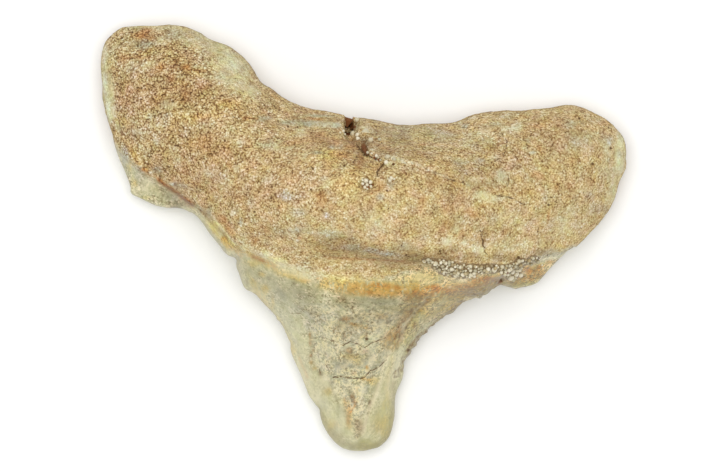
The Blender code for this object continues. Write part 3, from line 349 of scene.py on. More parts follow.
# Stains that follow a line, with painted shade as the shade entries: points, half width, strength
STREAKS = {
    "shade": (
        (((10.0, -3.7), (11.4, -3.6), (13.9, -3.6)), 0.4, 0.5),
        (((-2.4, -5.3), (1.0, -5.6), (4.6, -5.75)), 0.8, 0.56),
        (((4.0, -6.2), (2.0, -6.7), (0.2, -6.6)), 0.5, 0.5),
        (((-10.6, -2.2), (-9.0, -3.2), (-7.0, -4.3), (-4.4, -4.7)), 0.9, 0.5),
        (((8.4, -5.3), (6.8, -6.4), (5.2, -7.5), (4.7, -8.2)), 0.66, 0.6),
        (((2.75, -12.8), (2.8, -15.0), (2.6, -16.5), (1.9, -17.8), (0.8, -18.6)), 0.36, 0.7),
        (((-3.9, -15.0), (-3.2, -16.4), (-2.2, -17.7), (-0.8, -18.5)), 0.3, 0.6),
        (((-3.4, -0.4), (-1.0, -0.8), (1.5, -1.1), (4.5, -1.5), (7.0, -1.7)), 0.7, 0.7),
        (((-5.6, -5.9), (-4.4, -6.5), (-3.7, -6.55)), 0.16, 0.6),
        (((1.4, -6.0), (2.8, -6.1), (4.4, -6.45)), 0.16, 0.7),
    ),
    "gold": (
        (((6.0, -4.3), (9.8, -3.8), (11.4, -3.6), (13.2, -3.6), (15.6, -3.0)), 0.5, 0.7),
        (((-8.1, -2.35), (-7.0, -3.0), (-6.0, -3.3), (-5.0, -3.5)), 0.34, 0.9),
        (((-3.4, -3.85), (0.0, -4.15), (4.8, -4.4)), 0.7, 0.75),
        (((5.6, -4.3), (7.2, -4.5), (8.4, -4.25), (9.4, -3.9), (10.4, -3.6), (11.4, -3.5)), 0.42, 0.9),
        (((4.4, -4.9), (6.2, -5.2), (7.6, -4.9), (8.8, -4.5), (10.2, -4.4), (11.4, -4.0)), 0.5, 0.85),
        (((-9.6, -3.8), (-8.6, -5.8), (-7.1, -8.1), (-6.2, -9.9)), 0.32, 0.6),
        (((2.6, -10.6), (2.2, -12.6), (1.9, -14.6)), 0.3, 0.3),
        (((9.2, -5.0), (7.6, -4.9), (6.2, -5.2), (5.2, -6.3)), 0.3, 0.5),
        (((5.6, -6.8), (7.2, -6.0), (8.9, -5.1)), 0.5, 0.6),
    ),
    "amber": (
        (((-17.7, 5.05), (-16.9, 4.5), (-16.45, 4.1), (-16.1, 3.95)), 0.15, 0.95),
        (((-15.75, 3.6), (-15.4, 3.35), (-15.05, 2.95)), 0.17, 0.95),
        (((-9.6, -1.55), (-9.1, -1.8), (-8.4, -2.1)), 0.14, 0.6),
        (((-12.7, 2.3), (-12.2, 1.8), (-11.6, 0.9), (-11.3, 0.5)), 0.26, 0.4),
        (((-1.45, -14.1), (-1.2, -15.1), (-1.4, -16.2)), 0.2, 0.3),
        (((-0.85, -13.5), (-0.75, -14.6), (-1.1, -15.2)), 0.09, 0.7),
        (((0.3, -4.0), (2.2, -4.1)), 0.2, 0.5),
        (((5.4, -5.5), (6.3, -4.6)), 0.25, 0.4),
        (((5.8, -4.3), (7.4, -4.4), (9.4, -4.1), (11.2, -3.6)), 0.36, 0.28),
    ),
    "rust": (
        (((-19.2, 6.05), (-18.8, 5.9)), 0.14, 0.9),
        (((-17.8, 5.1), (-17.25, 4.65), (-16.6, 4.2), (-16.1, 3.85)), 0.22, 1.0),
        (((-15.85, 3.6), (-15.4, 3.3), (-14.95, 2.9)), 0.26, 1.0),
        (((-15.0, 14.66), (-13.7, 14.6)), 0.09, 0.8),
        (((-10.4, 10.5), (-9.1, 10.4)), 0.1, 0.7),
        # Along the ledge under the bulge: a thin painted shadow line in rust
        (((-3.2, -1.6), (-1.0, -1.75), (0.0, -1.8), (1.5, -1.87), (3.6, -1.95)), 0.09, 0.75),
        (((-9.6, -1.5), (-9.0, -1.75), (-8.5, -2.0)), 0.13, 0.25),
    ),
    "ochre": (
        (((9.8, -3.7), (11.4, -3.6), (13.2, -3.6), (15.6, -3.0)), 0.5, 0.25),
        (((-13.6, 1.4), (-12.6, 0.5), (-11.6, -0.5), (-10.7, -1.3)), 0.34, 0.65),
        (((-2.0, -4.5), (1.0, -4.85), (4.5, -4.9)), 0.36, 0.6),
        (((4.6, -5.9), (3.7, -7.0), (3.0, -8.0), (2.2, -9.2)), 0.7, 0.45),
        (((-5.6, -10.4), (-5.2, -11.4), (-4.9, -12.2)), 0.13, 0.6),
        (((-21.6, 9.3), (-20.6, 8.2), (-19.4, 6.6)), 0.2, 0.6),
    ),
    "orange": (
        (((-3.4, -3.85), (-1.0, -4.1), (5.2, -4.5)), 0.55, 0.25),
        (((-0.8, -4.25), (2.0, -4.4), (5.2, -4.5)), 0.5, 0.35),
        (((1.0, -4.3), (5.2, -4.5)), 0.42, 0.3),
        (((-1.7, -4.1), (0.4, -4.35), (2.2, -4.45)), 0.4, 0.22),
        (((5.0, -4.5), (7.2, -4.35)), 0.42, 0.8),
        (((7.2, -4.35), (8.6, -4.15), (10.0, -3.8), (11.4, -3.5)), 0.42, 0.45),
        (((-10.0, -1.35), (-9.0, -1.75), (-8.3, -2.05), (-7.7, -2.45)), 0.24, 0.8),
        (((-1.0, -7.4), (-0.4, -7.55), (0.3, -7.7)), 0.15, 0.75),
        (((-1.5, -14.2), (-1.3, -15.3), (-1.2, -16.5)), 0.3, 0.5),
        (((-0.5, -13.0), (-0.45, -13.9), (-0.75, -14.6)), 0.14, 0.4),
        (((-20.4, 7.6), (-19.9, 6.9), (-19.4, 6.4)), 0.14, 0.6),
    ),
    "brown": (
        (((-0.2, 7.4), (-0.5, 6.8), (-0.35, 6.0)), 0.5, 0.4),
        (((1.2, 9.3), (2.4, 9.1), (3.6, 9.0)), 0.5, 0.26),
        (((0.5, 8.6), (0.9, 8.1), (1.3, 7.6), (2.2, 7.5), (3.6, 7.2)), 0.45, 0.3),
        (((4.7, -5.8), (3.8, -6.9), (3.1, -7.9), (2.9, -8.8)), 0.2, 0.4),
        (((8.7, -5.6), (7.7, -6.6), (6.5, -7.4), (5.3, -8.5), (4.7, -9.5), (3.9, -10.4)), 0.15, 0.6),
        (((9.3, -4.95), (10.2, -5.0), (11.1, -4.6), (11.9, -4.1)), 0.2, 0.5),
        (((4.7, -5.1), (6.0, -5.3), (7.2, -5.05), (8.5, -4.7), (10.2, -4.45), (11.2, -4.1)), 0.42, 0.4),
        (((4.9, -5.6), (3.9, -6.8), (3.2, -7.8), (2.9, -8.8)), 0.5, 0.3),
        (((-4.9, -10.1), (-4.6, -10.9), (-4.4, -11.6)), 0.1, 0.3),
    ),
    "cream": (
        (((-22.7, 16.6), (-22.6, 14.5), (-22.4, 12.2), (-22.0, 10.6)), 0.5, 0.8),
        (((-20.6, 18.6), (-18.0, 18.6), (-15.0, 18.2), (-12.8, 17.2), (-10.6, 15.4)), 0.36, 0.6),
        (((22.7, 9.6), (22.8, 7.0), (22.3, 5.4), (21.6, 3.4)), 0.36, 0.5),
        (((-14.8, 2.6), (-13.6, 1.4), (-12.5, 0.3)), 0.4, 0.85),
    ),
    "pale": (
        (((-8.0, -1.9), (-6.6, -2.5), (-5.0, -2.9), (-3.8, -3.15)), 0.4, 0.45),
        (((-3.4, -3.25), (-2.0, -3.45), (-1.0, -3.4)), 0.2, 0.3),
        (((-22.75, 15.5), (-22.45, 12.4), (-22.1, 10.8)), 0.22, 0.35),
        (((-9.6, -1.0), (-7.6, -1.75), (-6.0, -2.4), (-4.6, -2.95)), 0.24, 0.4),
        (((-8.0, -2.45), (-6.5, -3.0), (-5.0, -3.4), (-4.0, -3.75)), 0.24, 0.6),
        (((-13.0, 1.9), (-12.4, 1.0), (-11.9, 0.4), (-11.2, -0.5)), 0.13, 0.85),
        (((-9.4, -4.8), (-8.1, -7.0), (-6.7, -9.4), (-5.4, -12.0), (-4.0, -14.0)), 0.6, 0.6),
        (((3.1, -10.4), (2.6, -12.0), (2.3, -13.6)), 0.45, 0.65),
        (((8.4, -5.4), (7.6, -6.0), (6.9, -6.7)), 0.09, 0.8),
        (((-0.3, -13.0), (-0.1, -14.2), (-0.2, -15.5)), 0.26, 0.5),
        (((2.3, -10.0), (1.6, -12.5), (1.0, -14.0), (0.5, -15.0), (0.2, -16.2), (0.0, -17.0)), 0.2, 0.95),
        (((5.4, -5.4), (4.9, -6.0), (4.2, -6.8), (3.6, -7.6), (3.4, -8.6)), 0.12, 0.7),
        (((5.8, -7.0), (7.0, -6.3), (8.4, -5.4)), 0.1, 0.4),
        (((15.2, -1.95), (16.2, -1.8), (16.9, -1.6)), 0.12, 0.85),
        (((1.6, 7.3), (3.2, 6.85), (5.0, 6.3), (6.8, 5.4), (8.4, 4.75)), 0.1, 0.5),
        # A painted highlight along the ridge of the wedge
        (((-19.9, 4.45), (-19.0, 4.5)), 0.08, 0.6),
        (((-15.0, 14.95), (-13.7, 14.9)), 0.12, 0.6),
    ),
    "olive": (
        (((4.4, -5.0), (6.2, -5.3), (7.6, -5.0), (8.8, -4.6), (10.4, -4.4), (11.4, -4.0)), 0.5, 0.65),
        (((5.4, -6.2), (4.6, -7.0), (4.1, -8.2), (4.0, -9.2)), 0.5, 0.5),
        (((-10.1, -2.8), (-9.3, -4.8), (-7.3, -8.2), (-6.4, -10.0)), 0.2, 0.35),
    ),
    "grey": (
        (((-14.6, 2.0), (-13.3, 0.2), (-12.7, -0.6), (-12.1, -1.1)), 0.2, 0.35),
    ),
}
# Dark brown in the deepest hollows, dirt and painted shade: x, y, radius, strength
DIRT_AND_SHADE = (
    (-0.05, 8.35, 0.36, 0.5), (0.05, 7.95, 0.34, 0.64), (0.15, 7.6, 0.24, 0.9), (0.28, 7.32, 0.18, 1.0),
    (-0.45, 7.95, 0.14, 0.8), (0.97, 6.97, 0.14, 0.9), (1.36, 6.8, 0.17, 0.9), (-0.75, 9.75, 0.17, 0.8),
    (0.3, 4.65, 0.6, 0.62), (2.4, 5.05, 0.42, 0.55), (0.84, 4.6, 0.13, 0.8), (2.6, 6.4, 0.14, 0.8),
    (12.1, -3.65, 0.2, 1.0), (11.9, -3.85, 0.13, 0.9), (12.6, -3.0, 0.15, 0.8),
)

# The sand left in the groove: points, half width of the bed
SAND_BEDS = (
    (((5.3, -1.85), (6.2, -2.0)), 0.12), (((6.4, -2.2), (7.6, -2.35)), 0.42),
    (((6.9, -2.8), (8.4, -3.0), (9.6, -2.95)), 0.3), (((7.8, -2.45), (9.8, -2.65), (11.4, -2.6)), 0.3),
    (((11.4, -2.5), (12.3, -2.5)), 0.16), (((12.3, -2.8), (13.4, -2.5)), 0.42),
    (((12.8, -3.25), (13.4, -3.05)), 0.3), (((13.3, -2.1), (14.5, -2.0)), 0.22),
    (((14.7, -1.8), (15.0, -1.8)), 0.26),
)
SAND_TRIES = 3200
SAND_ROOM = 0.74
SECOND_LAYER = 0.4
# Single stones stuck in the root and the groove: x, y, width, tone from 0 dark to 1 pale
STONES = (
    (-0.88, 9.1, 0.6, 0.62), (-0.45, 8.98, 0.42, 0.98), (-0.42, 8.62, 0.38, 0.95), (0.64, 8.45, 0.5, 0.55),
    (1.4, 8.5, 0.36, 0.4), (2.1, 6.95, 0.5, 0.5), (2.68, 6.75, 0.42, 0.4), (1.98, 6.47, 0.46, 0.95),
    (1.15, 7.08, 0.3, 0.95), (1.3, 6.95, 0.22, 0.5), (1.5, 6.72, 0.24, 0.4), (0.45, 7.42, 0.3, 0.8),
    (0.75, 7.3, 0.24, 0.7), (3.35, 6.62, 0.34, 0.65), (3.6, 6.45, 0.22, 0.5), (4.15, 6.5, 0.22, 0.65),
    (-0.5, 10.3, 0.5, 0.55), (0.18, 9.32, 0.85, 0.55), (-1.75, 9.3, 0.3, 0.85), (-2.0, 9.15, 0.26, 0.7),
    (-1.6, 9.05, 0.24, 0.8), (0.2, 5.0, 0.5, 0.95), (-0.08, 4.7, 0.36, 0.9), (0.34, 4.64, 0.36, 1.0),
    (0.68, 4.88, 0.42, 0.9), (0.12, 4.36, 0.36, 0.95), (0.72, 4.44, 0.36, 0.8), (-0.08, 5.02, 0.26, 0.8),
    (0.36, 4.24, 0.22, 0.9), (2.42, 5.22, 0.4, 0.85), (2.3, 4.9, 0.38, 0.95), (2.68, 5.1, 0.26, 0.75),
    (2.12, 5.1, 0.24, 0.6), (12.9, -3.4, 0.62, 1.0), (13.35, -3.05, 0.56, 0.95), (12.55, -3.1, 0.4, 0.95),
    (13.0, -2.85, 0.5, 1.0), (13.6, -2.7, 0.42, 0.95), (12.62, -2.7, 0.42, 0.9), (-18.5, 5.8, 0.22, 0.95),
    (15.65, -2.3, 0.2, 1.0), (5.6, 5.85, 0.2, 0.95), (11.35, -2.65, 0.56, 0.85), (7.65, -2.55, 0.5, 0.8),
    (9.3, -3.1, 0.54, 0.75), (8.6, -3.05, 0.46, 0.9), (6.25, -2.1, 0.46, 0.62), (10.8, -2.6, 0.44, 0.9),
    (7.1, -2.1, 0.42, 0.8),
)

# How coarse the grain is: on the whole tooth by x and by y, and on the crown by x again
COARSE_ACROSS = ((-18, 1.36), (-8, 1.2), (0, 0.97), (16, 1.0))
COARSE_ALONG = ((-12.5, 0.3), (-6.5, 1.0))
CROWN_ACROSS = ((-16, 0.5), (-12, 0.6), (-9, 0.6), (-6, 0.8), (-2, 1.4), (3, 1.9), (6, 2.7), (9, 3.0))
COARSER_UPWARD = 0.015
CROWN_TOP = 2
# The coarser patch below the root's edge: x, y, half size across, half size along, share more
COARSE_PATCH = (5, 8.5, 9, 3, 0.25)
# Painted shade that darkens the root towards its upper edge: y, share
DEEPER_UPWARD = ((-4, -0.05), (4, 0.0), (14, 0.05))

# How the skin of the tooth is made, in mm
WELD = 0.002
FIRST_STEP = 0.2
RELAX_ROUNDS = 12
REGROWTH = 0.04
# Upright part of the normal where the inner face begins and is full, and where the painted shade of steep
# sides is full and ends
FACING_UP = (-0.4, 0.0)
SIDE_SHADE_SLOPES = (0.08, 0.36)
# Faces whose normal is less upright than this aren't split
TOO_STEEP = 0.35
# How far from a line or a spot its faces are split once and twice
FINE_REACH = (0.22, 0.12)
# Stains smaller than this are split for too, and so are the worn edge, the dentine and the cleft
SMALL_SPOT = 0.22
WORN_REACH = 0.7
FLAKY_MARGIN = 0.3
NOTCH = (0.4, 8.2, 2.2)
# How far the cracks and the stains stray from their places, and in what waves
RAGGED = (0.07, 0.3)
STAIN_DRIFT = (0.35, 1.1)
# How much the width of a crack or a pit varies, and in what waves
WOBBLE = (0.45, 0.5)
# The lip above the collar: distance, half width, height
LIP = (0.35, 0.35, 0.1)
DENTINE_SINK = 0.06
PORES = 260
PORE_RADIUS = (0.2, 0.34)
PORE_DEPTH = (0.03, 0.09)
WEIGHT_STEPS = 20
SEED = 11

# How the sand grains are made and laid, in grain widths where not said otherwise
PEBBLE_SHAPES = 6
ROUNDNESS = 0.7
SQUEEZE = (0.72, 1.0)
UNEVENNESS = 0.12
GRAIN_LIFT = 0.16
LAYER_LIFT = 0.4
BIG_GRAIN_MM = 0.5
DROP_HEIGHT_MM = 40

# The stage, in metres
LAMP_PLACE = (-0.015, 0.04, 0.34)
LAMP_SIZE = 0.3
CAMERA_SEES = (0.01, 10)
# How the nodes of a material are laid out
NODE_GAP = (220, -190)
NODES_IN_COLUMN = 12


def pigment(red, green, blue):
    """A colour as the eye sees it, 0 to 255, turned into the light it reflects."""
    shares = [tone / 255 for tone in (red, green, blue)]
    return tuple(((share + 0.055) / 1.055) ** 2.4 if share > 0.04 else share / 12.92 for share in shares)


def colour(name, text, red, green, blue):
    """A colour that a user can change."""
    default = pigment(red, green, blue)
    return bpy.props.FloatVectorProperty(
        name=name, description=text, default=default, min=0, max=1, size=3, subtype="COLOR"
    )


def length(name, text, default):
    """A length that a user can change, given in mm and kept in metres."""
    return bpy.props.FloatProperty(
        name=name, description=text, default=default * MM, min=0, precision=5, unit="LENGTH"
    )


class ToothSettings(bpy.types.PropertyGroup):
    skin_step: length("Skin step", "Size of a face of the finished skin", 0.222)
    grain_height: length("Grain height", "Height of the small lumps of the root", 0.05)
    relief_height: length("Relief height", "Height of the rough dentine", 0.09)
    break_height: length("Break height", "Height of the lumps along the broken edge", 0.24)
    root_dark: colour("Root, dark", "Deepest brown between the grains of the root", 96, 68, 34)
    root_brown: colour("Root, brown", "Brown of the root", 150, 117, 70)
    root_tan: colour("Root, tan", "Usual tan of the root", 190, 162, 110)
    root_sand: colour("Root, sand", "Light grains of the root", 216, 195, 144)
    root_light: colour("Root, light", "Lightest grains of the root", 239, 227, 190)
    shade: colour("Shade", "Greyish shade over hollows and edges", 208, 201, 185)
    gold: colour("Gold", "Golden tint below the root and on the crown", 206, 178, 95)
    amber: colour("Amber", "Darkest orange spots", 182, 136, 70)
    rust: colour("Rust", "Rusty stains", 176, 128, 74)
    ochre: colour("Ochre", "Ochre stains", 194, 158, 92)
    cream: colour("Cream", "Pale worn patches of the root", 212, 203, 158)
    grey: colour("Grey", "Grey-green patches", 174, 168, 136)
    blue: colour("Blue-grey", "Blue-grey patches", 176, 170, 148)
    rosy: colour("Rosy", "Pinkish tint", 194, 162, 124)
    brown: colour("Brown", "Dark brown stains", 120, 90, 54)
    orange: colour("Orange", "Orange stains of the collar and the crown", 195, 163, 96)
    # Pale also paints a highlight along the ridge of the wedge
    pale: colour("Pale", "Whitish rims, streaks and flecks", 222, 210, 165)
    olive: colour("Olive", "Olive shade of the thick enamel", 177, 165, 86)
    enamel: colour("Enamel", "Lighter parts of the waxy enamel", 214, 209, 167)
    enamel_shade: colour("Enamel, shade", "Darker parts of the waxy enamel", 177, 173, 130)
    enamel_deep: colour("Enamel, deep", "Darkest specks of the enamel", 146, 134, 92)
    dentine: colour("Dentine", "Bare dentine of the crown", 206, 199, 162)
    dentine_deep: colour("Dentine, deep", "Specks of the dentine", 152, 139, 101)
    dentine_shade: colour("Dentine, shade", "Grey-green of the dentine", 171, 168, 137)
    # The dirt tone is also painted shade in the cleft, the channel and the holes
    dirt: colour("Dirt", "Dirt in the cleft, the channel and the holes", 126, 75, 29)
    silt: colour("Silt", "Silt around the sand grains", 122, 98, 66)


class SandSettings(bpy.types.PropertyGroup):
    small_grain: length("Small grain", "Width of the smallest grains", 0.22)
    large_grain: length("Large grain", "Width of the largest grains", 0.44)
    pale: colour("Pale grain", "Palest grains", 233, 226, 202)
    cream: colour("Cream grain", "Usual grains", 214, 205, 174)
    grey: colour("Grey grain", "Grey grains", 180, 174, 146)
    tan: colour("Tan grain", "Yellowish grains", 188, 168, 122)
    dark: colour("Dark grain", "The few dark grains", 136, 120, 90)


class StageSettings(bpy.types.PropertyGroup):
    focal_length: length("Focal length", "Focal length of the camera", 300.0)
    picture_width: length("Picture width", "Width of what the camera sees at the tooth", 61.95)
    camera_x: bpy.props.FloatProperty(
        name="Camera x", description="Camera's place across", default=-0.79 * MM, unit="LENGTH"
    )
    camera_y: bpy.props.FloatProperty(
        name="Camera y", description="Camera's place along", default=0.22 * MM, unit="LENGTH"
    )
    middle_height: length("Middle height", "Height above the floor that the picture width is for", 4.0)
    floor_size: length("Floor size", "Width of the floor", 3000.0)
    floor_colour: colour("Floor colour", "Colour of the floor", 252, 252, 251)
    sky_light: bpy.props.FloatProperty(
        name="Sky light", description="Strength of the light from all round", default=0.64, min=0
    )
    main_light: bpy.props.FloatProperty(
        name="Main light", description="Power of the large soft light overhead", default=0.76, min=0,
        unit="POWER",
    )


def ease(value, low, high):
    """0 below low, 1 above high and smooth between."""
    t = np.clip((value - low) / (high - low), 0, 1)
    return t * t * (3 - 2 * t)


def distance_to(line, spots):
    """Distance of each spot from a line of points, in the plane."""
    line = np.array(line, float)
    least = np.full(len(spots), np.inf)
    for start, end in zip(line[:-1], line[1:]):
        run = end - start
        along = np.clip((spots - start) @ run / (run @ run), 0, 1)
        least = np.minimum(least, np.hypot(*(spots - start - along[:, None] * run).T))
    return least


def read_off(line, places):
    """The second number of a line of points, read off at places of the first."""
    line = np.array(line, float)
    return np.interp(places, line[:, 0], line[:, 1])


def ripples(points, wave, shift):
    """Smooth noise between about -1 and 1, with one wave length in mm."""
    offset = Vector((shift, 2 * shift, 3 * shift))
    return np.array([noise.noise(Vector(point) + offset) for point in points / wave])


def drift(skin, reach, wave, *shifts):
    """A smooth random move of each point in the plane, by up to about the reach in mm."""
    return reach * np.column_stack([ripples(skin.points, wave, shift) for shift in shifts])


def only(*objects):
    """Selects these objects alone and makes the first one active."""
    bpy.ops.object.select_all(action="DESELECT")
    for obj in objects:
        obj.select_set(True)
    bpy.context.view_layer.objects.active = objects[0]


def finished_with(piece, kind, **settings):
    """Applies one modifier to the piece."""
    only(piece)
    modifier = piece.modifiers.new(kind.title(), kind)
    for name, value in settings.items():
        setattr(modifier, name, value)
    bpy.ops.object.modifier_apply(modifier=modifier.name)


class Skin:
    """The surface of a piece as arrays: its points in mm and the way that each one faces."""

    def __init__(self, mesh):
        self.mesh = mesh
        self.points = self.read(mesh.vertices, "co") / MM
        self.normals = self.read(mesh.vertex_normals, "vector")
        self.spots = self.points[:, :2]
        self.upward = ease(self.normals[:, 2], *FACING_UP)

    @staticmethod
    def read(rows, name):
        values = np.empty(len(rows) * 3, np.float32)
        rows.foreach_get(name, values)
        return values.reshape(-1, 3).astype(float)

    def push(self, height):
        """Moves each point outwards by its height in mm, but not below the floor."""
        self.points += self.normals * height[:, None]
        self.points[:, 2] = np.maximum(self.points[:, 2], 0)
        self.mesh.vertices.foreach_set("co", (self.points * MM).astype(np.float32).ravel())
        self.mesh.update()

    def paint(self, name, values):
        """Keeps one value for each point, for the material to read."""
        layer = self.mesh.attributes.new(name, "FLOAT", "POINT")
        layer.data.foreach_set("value", np.asarray(values, np.float32))


def group_of(piece, name, weights):
    """A vertex group with these weights, in a few steps."""
    group = piece.vertex_groups.new(name=name)
    steps = np.round(weights * WEIGHT_STEPS).astype(int)
    for step in range(1, WEIGHT_STEPS + 1):
        group.add(np.flatnonzero(steps == step).tolist(), step / WEIGHT_STEPS, "REPLACE")
    return name


def roughened(piece, name, wave, height, group):
    """Raises lumps of one wave length, in metres, on the points of the group."""
    texture = bpy.data.textures.new(name, "CLOUDS")
    texture.noise_scale = wave
    finished_with(
        piece, "DISPLACE", texture=texture, strength=height, mid_level=0.5, vertex_group=group,
        texture_coords="LOCAL",
    )
    bpy.data.textures.remove(texture)


def fine_copy(node, step):
    """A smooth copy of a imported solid, covered in even small faces."""
    piece = bpy.data.objects.new("fossil_tooth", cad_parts[node].data.copy())
    bpy.context.scene.collection.objects.link(piece)
    only(piece)
    bpy.ops.object.mode_set(mode="EDIT")
    bpy.ops.mesh.select_all(action="SELECT")
    bpy.ops.mesh.remove_doubles(threshold=WELD * MM)
    bpy.ops.object.mode_set(mode="OBJECT")
    finished_with(piece, "REMESH", mode="VOXEL", voxel_size=FIRST_STEP * MM)
    finished_with(piece, "SMOOTH", factor=0.5, iterations=RELAX_ROUNDS)
    finished_with(piece, "DISPLACE", strength=REGROWTH * MM, mid_level=0)
    finished_with(piece, "REMESH", mode="VOXEL", voxel_size=step)
    return piece


def above_collar(skin):
    """Distance in mm above the line where the root ends, on both faces."""
    inner = distance_to(GRAIN_END, skin.spots)
    inner *= np.sign(skin.spots[:, 1] - read_off(GRAIN_END, skin.spots[:, 0]))
    outer = distance_to(ENAMEL_ARCH, skin.spots)
    outer *= np.sign(skin.spots[:, 1] - read_off(ENAMEL_ARCH, skin.spots[:, 0]))
    return outer + (inner - outer) * skin.upward


def inside_dentine(skin):
    """Distance in mm inside the border of the bare dentine."""
    rows = np.array(sorted(DENTINE))
    left, right = (np.interp(skin.spots[:, 1], rows[:, 0], rows[:, number]) for number in (1, 2))
    inside = np.minimum(skin.spots[:, 0] - left, right - skin.spots[:, 0])
    top = rows[-1, 0] - skin.spots[:, 1]
    tip = skin.spots[:, 1] - rows[0, 0]
    return np.where(skin.upward > 0.5, np.minimum(np.minimum(inside, top), tip), -1.0)


def near(skin, line, reach):
    """1 on the line, falling to 0 at reach."""
    return 1 - ease(distance_to(line, skin.spots), 0, reach)


def from_spot(skin, x, y):
    """Distance of each point from a spot, in the plane."""
    return np.hypot(skin.spots[:, 0] - x, skin.spots[:, 1] - y)


def shaken(skin):
    """The spots, moved a little to and fro, so that a line drawn over them is ragged."""
    return skin.spots + drift(skin, *RAGGED, 2.0, 7.0)


def pull(piece):
    """Pulls the outline a little at the places where it has corners and nicks."""
    mesh = piece.data
    skin = Skin(mesh)
    move = np.zeros(skin.points.shape)
    for x, y, reach, across, along in PULLS:
        share = np.exp(-((from_spot(skin, x, y) / reach) ** 2))
        move[:, :2] += share[:, None] * (across, along)
    mesh.vertices.foreach_set("co", ((skin.points + move) * MM).astype(np.float32).ravel())
    mesh.update()


def roughen(piece, sizes):
    """The lumps and the grain of the root, the rough dentine and the broken edge."""
    skin = Skin(piece.data)
    collar = above_collar(skin)
    broken = np.maximum(near(skin, BROKEN_EDGE, 0.8), near(skin, LUMPY_EDGE, 1.0))
    root = group_of(piece, "root", ease(collar, -0.1, 0.3))
    bare = group_of(piece, "dentine", ease(inside_dentine(skin), -0.1, 0.5))
    edge = group_of(piece, "broken", broken)
    crown = group_of(piece, "crown", 1 - ease(collar, -0.4, 0.0))
    for name, group, wave, height in (
        ("root lumps", root, 1.1, 2.0 * sizes.grain_height),
        ("root grain", root, 0.36, 1.6 * sizes.grain_height),
        ("dentine flakes", bare, 0.7, 1.6 * sizes.relief_height),
        ("dentine grain", bare, 0.32, sizes.relief_height),
        ("broken lumps", edge, 0.55, 1.5 * sizes.break_height),
        ("crown waves", crown, 1.8, 0.08 * MM),
    ):
        roughened(piece, name, wave * MM, height, group)
    piece.vertex_groups.clear()


def fineness(skin):
    """How many times the faces at each point are to be split in four."""
    to_edge = np.minimum(distance_to(BROKEN_EDGE, skin.spots), distance_to(LUMPY_EDGE, skin.spots))
    worn = to_edge < WORN_REACH
    flaky = inside_dentine(skin) > -FLAKY_MARGIN
    rounds = (worn | flaky | (from_spot(skin, *NOTCH[:2]) < NOTCH[2])).astype(int)
    gaps = [distance_to(line, skin.spots) - half_width for line, half_width, _ in (*CRACKS, CLEFT, CHANNEL)]
    gaps += [from_spot(skin, x, y) - radius for x, y, radius, _ in PITS + VESSEL_HOLES]
    for number, reach in enumerate(FINE_REACH, 1):
        for gap in gaps:
            rounds[(gap < reach) & (rounds < number)] = number
    for spots in BLOTS.values():
        for x, y, across, along, _ in spots:
            size = max(across, along)
            if size < SMALL_SPOT:
                rounds[(from_spot(skin, x, y) < size + FINE_REACH[1]) & (rounds < 1)] = 1
    return np.where(skin.normals[:, 2] > TOO_STEEP, rounds, 0)


def refine(piece):
    """Splits the faces where the skin has small things to show."""
    mesh = piece.data
    for done in range(len(FINE_REACH)):
        fine = fineness(Skin(mesh)) > done
        only(piece)
        bpy.ops.object.mode_set(mode="EDIT")
        bpy.ops.mesh.select_all(action="DESELECT")
        bpy.ops.object.mode_set(mode="OBJECT")
        corners = np.empty(len(mesh.loops), np.int32)
        mesh.loops.foreach_get("vertex_index", corners)
        starts = np.empty(len(mesh.polygons), np.int32)
        mesh.polygons.foreach_get("loop_start", starts)
        picked = np.minimum.reduceat(fine[corners].astype(np.int32), starts).astype(bool)
        mesh.polygons.foreach_set("select", picked)
        bpy.ops.object.mode_set(mode="EDIT")
        bpy.ops.mesh.select_mode(type="FACE")
        bpy.ops.mesh.subdivide(number_cuts=1)
        bpy.ops.object.mode_set(mode="OBJECT")


def carve(piece):
    """Sinks the cracks, creases, pits, holes and the cleft, and raises the lip of the collar."""
    skin = Skin(piece.data)
    share, wave = WOBBLE
    wobble = 1 + share * ripples(skin.points, wave, 5.0)
    height = np.zeros(len(skin.points))
    ragged = shaken(skin)
    for line, half_width, depth in CRACKS:
        away = distance_to(line, ragged) / (half_width * wobble)
        height -= depth * np.exp(-(away**2))
    for line, half_width, depth in CREASES:
        away = distance_to(line, skin.spots) / half_width
        height -= depth * np.exp(-(away**2)) * wobble
    for line, half_width, depth in (CLEFT, CHANNEL):
        away = distance_to(line, skin.spots) / (half_width * wobble)
        height -= depth * (1 - ease(away, 0.5, 1.0))
    for x, y, radius, depth in PITS + VESSEL_HOLES:
        away = from_spot(skin, x, y) / (radius * wobble)
        height -= depth * (1 - ease(away, 0.4, 1.2))
    distance, half_width, lip = LIP
    height += lip * np.exp(-((above_collar(skin) - distance) / half_width) ** 2)
    height -= DENTINE_SINK * ease(inside_dentine(skin), -0.05, 0.25)
    skin.push(height * skin.upward)


def pored(piece):
    """Small round pores scattered over the root."""
    skin = Skin(piece.data)
    root = above_collar(skin) > 0.4
    draw = np.random.default_rng(SEED)
    places = draw.choice(np.flatnonzero(root), size=PORES, replace=False)
    height = np.zeros(len(skin.points))
    for place in places:
        radius, depth = draw.uniform(*PORE_RADIUS), draw.uniform(*PORE_DEPTH)
        box = np.flatnonzero(np.abs(skin.points - skin.points[place]).max(1) < 2 * radius)
        away = np.linalg.norm(skin.points[box] - skin.points[place], axis=1) / radius
        height[box] -= depth * (1 - ease(away, 0.2, 1.1))
    skin.push(height)


def stained(skin, warp, name):
    """How strongly a stain covers each point of the inner face."""
    bare = np.ones(len(skin.spots))
    for x, y, across, along, strength in BLOTS.get(name, ()):
        spots = skin.spots + warp * min(1, 2 * min(across, along))
        away = ((spots[:, 0] - x) / across) ** 2 + ((spots[:, 1] - y) / along) ** 2
        bare *= 1 - strength * np.exp(-(away**1.5))
    for line, half_width, strength in STREAKS.get(name, ()):
        away = distance_to(line, skin.spots + warp * min(1, 2 * half_width)) / half_width
        bare *= 1 - strength * np.exp(-(away**2.5))
    return (1 - bare) * skin.upward


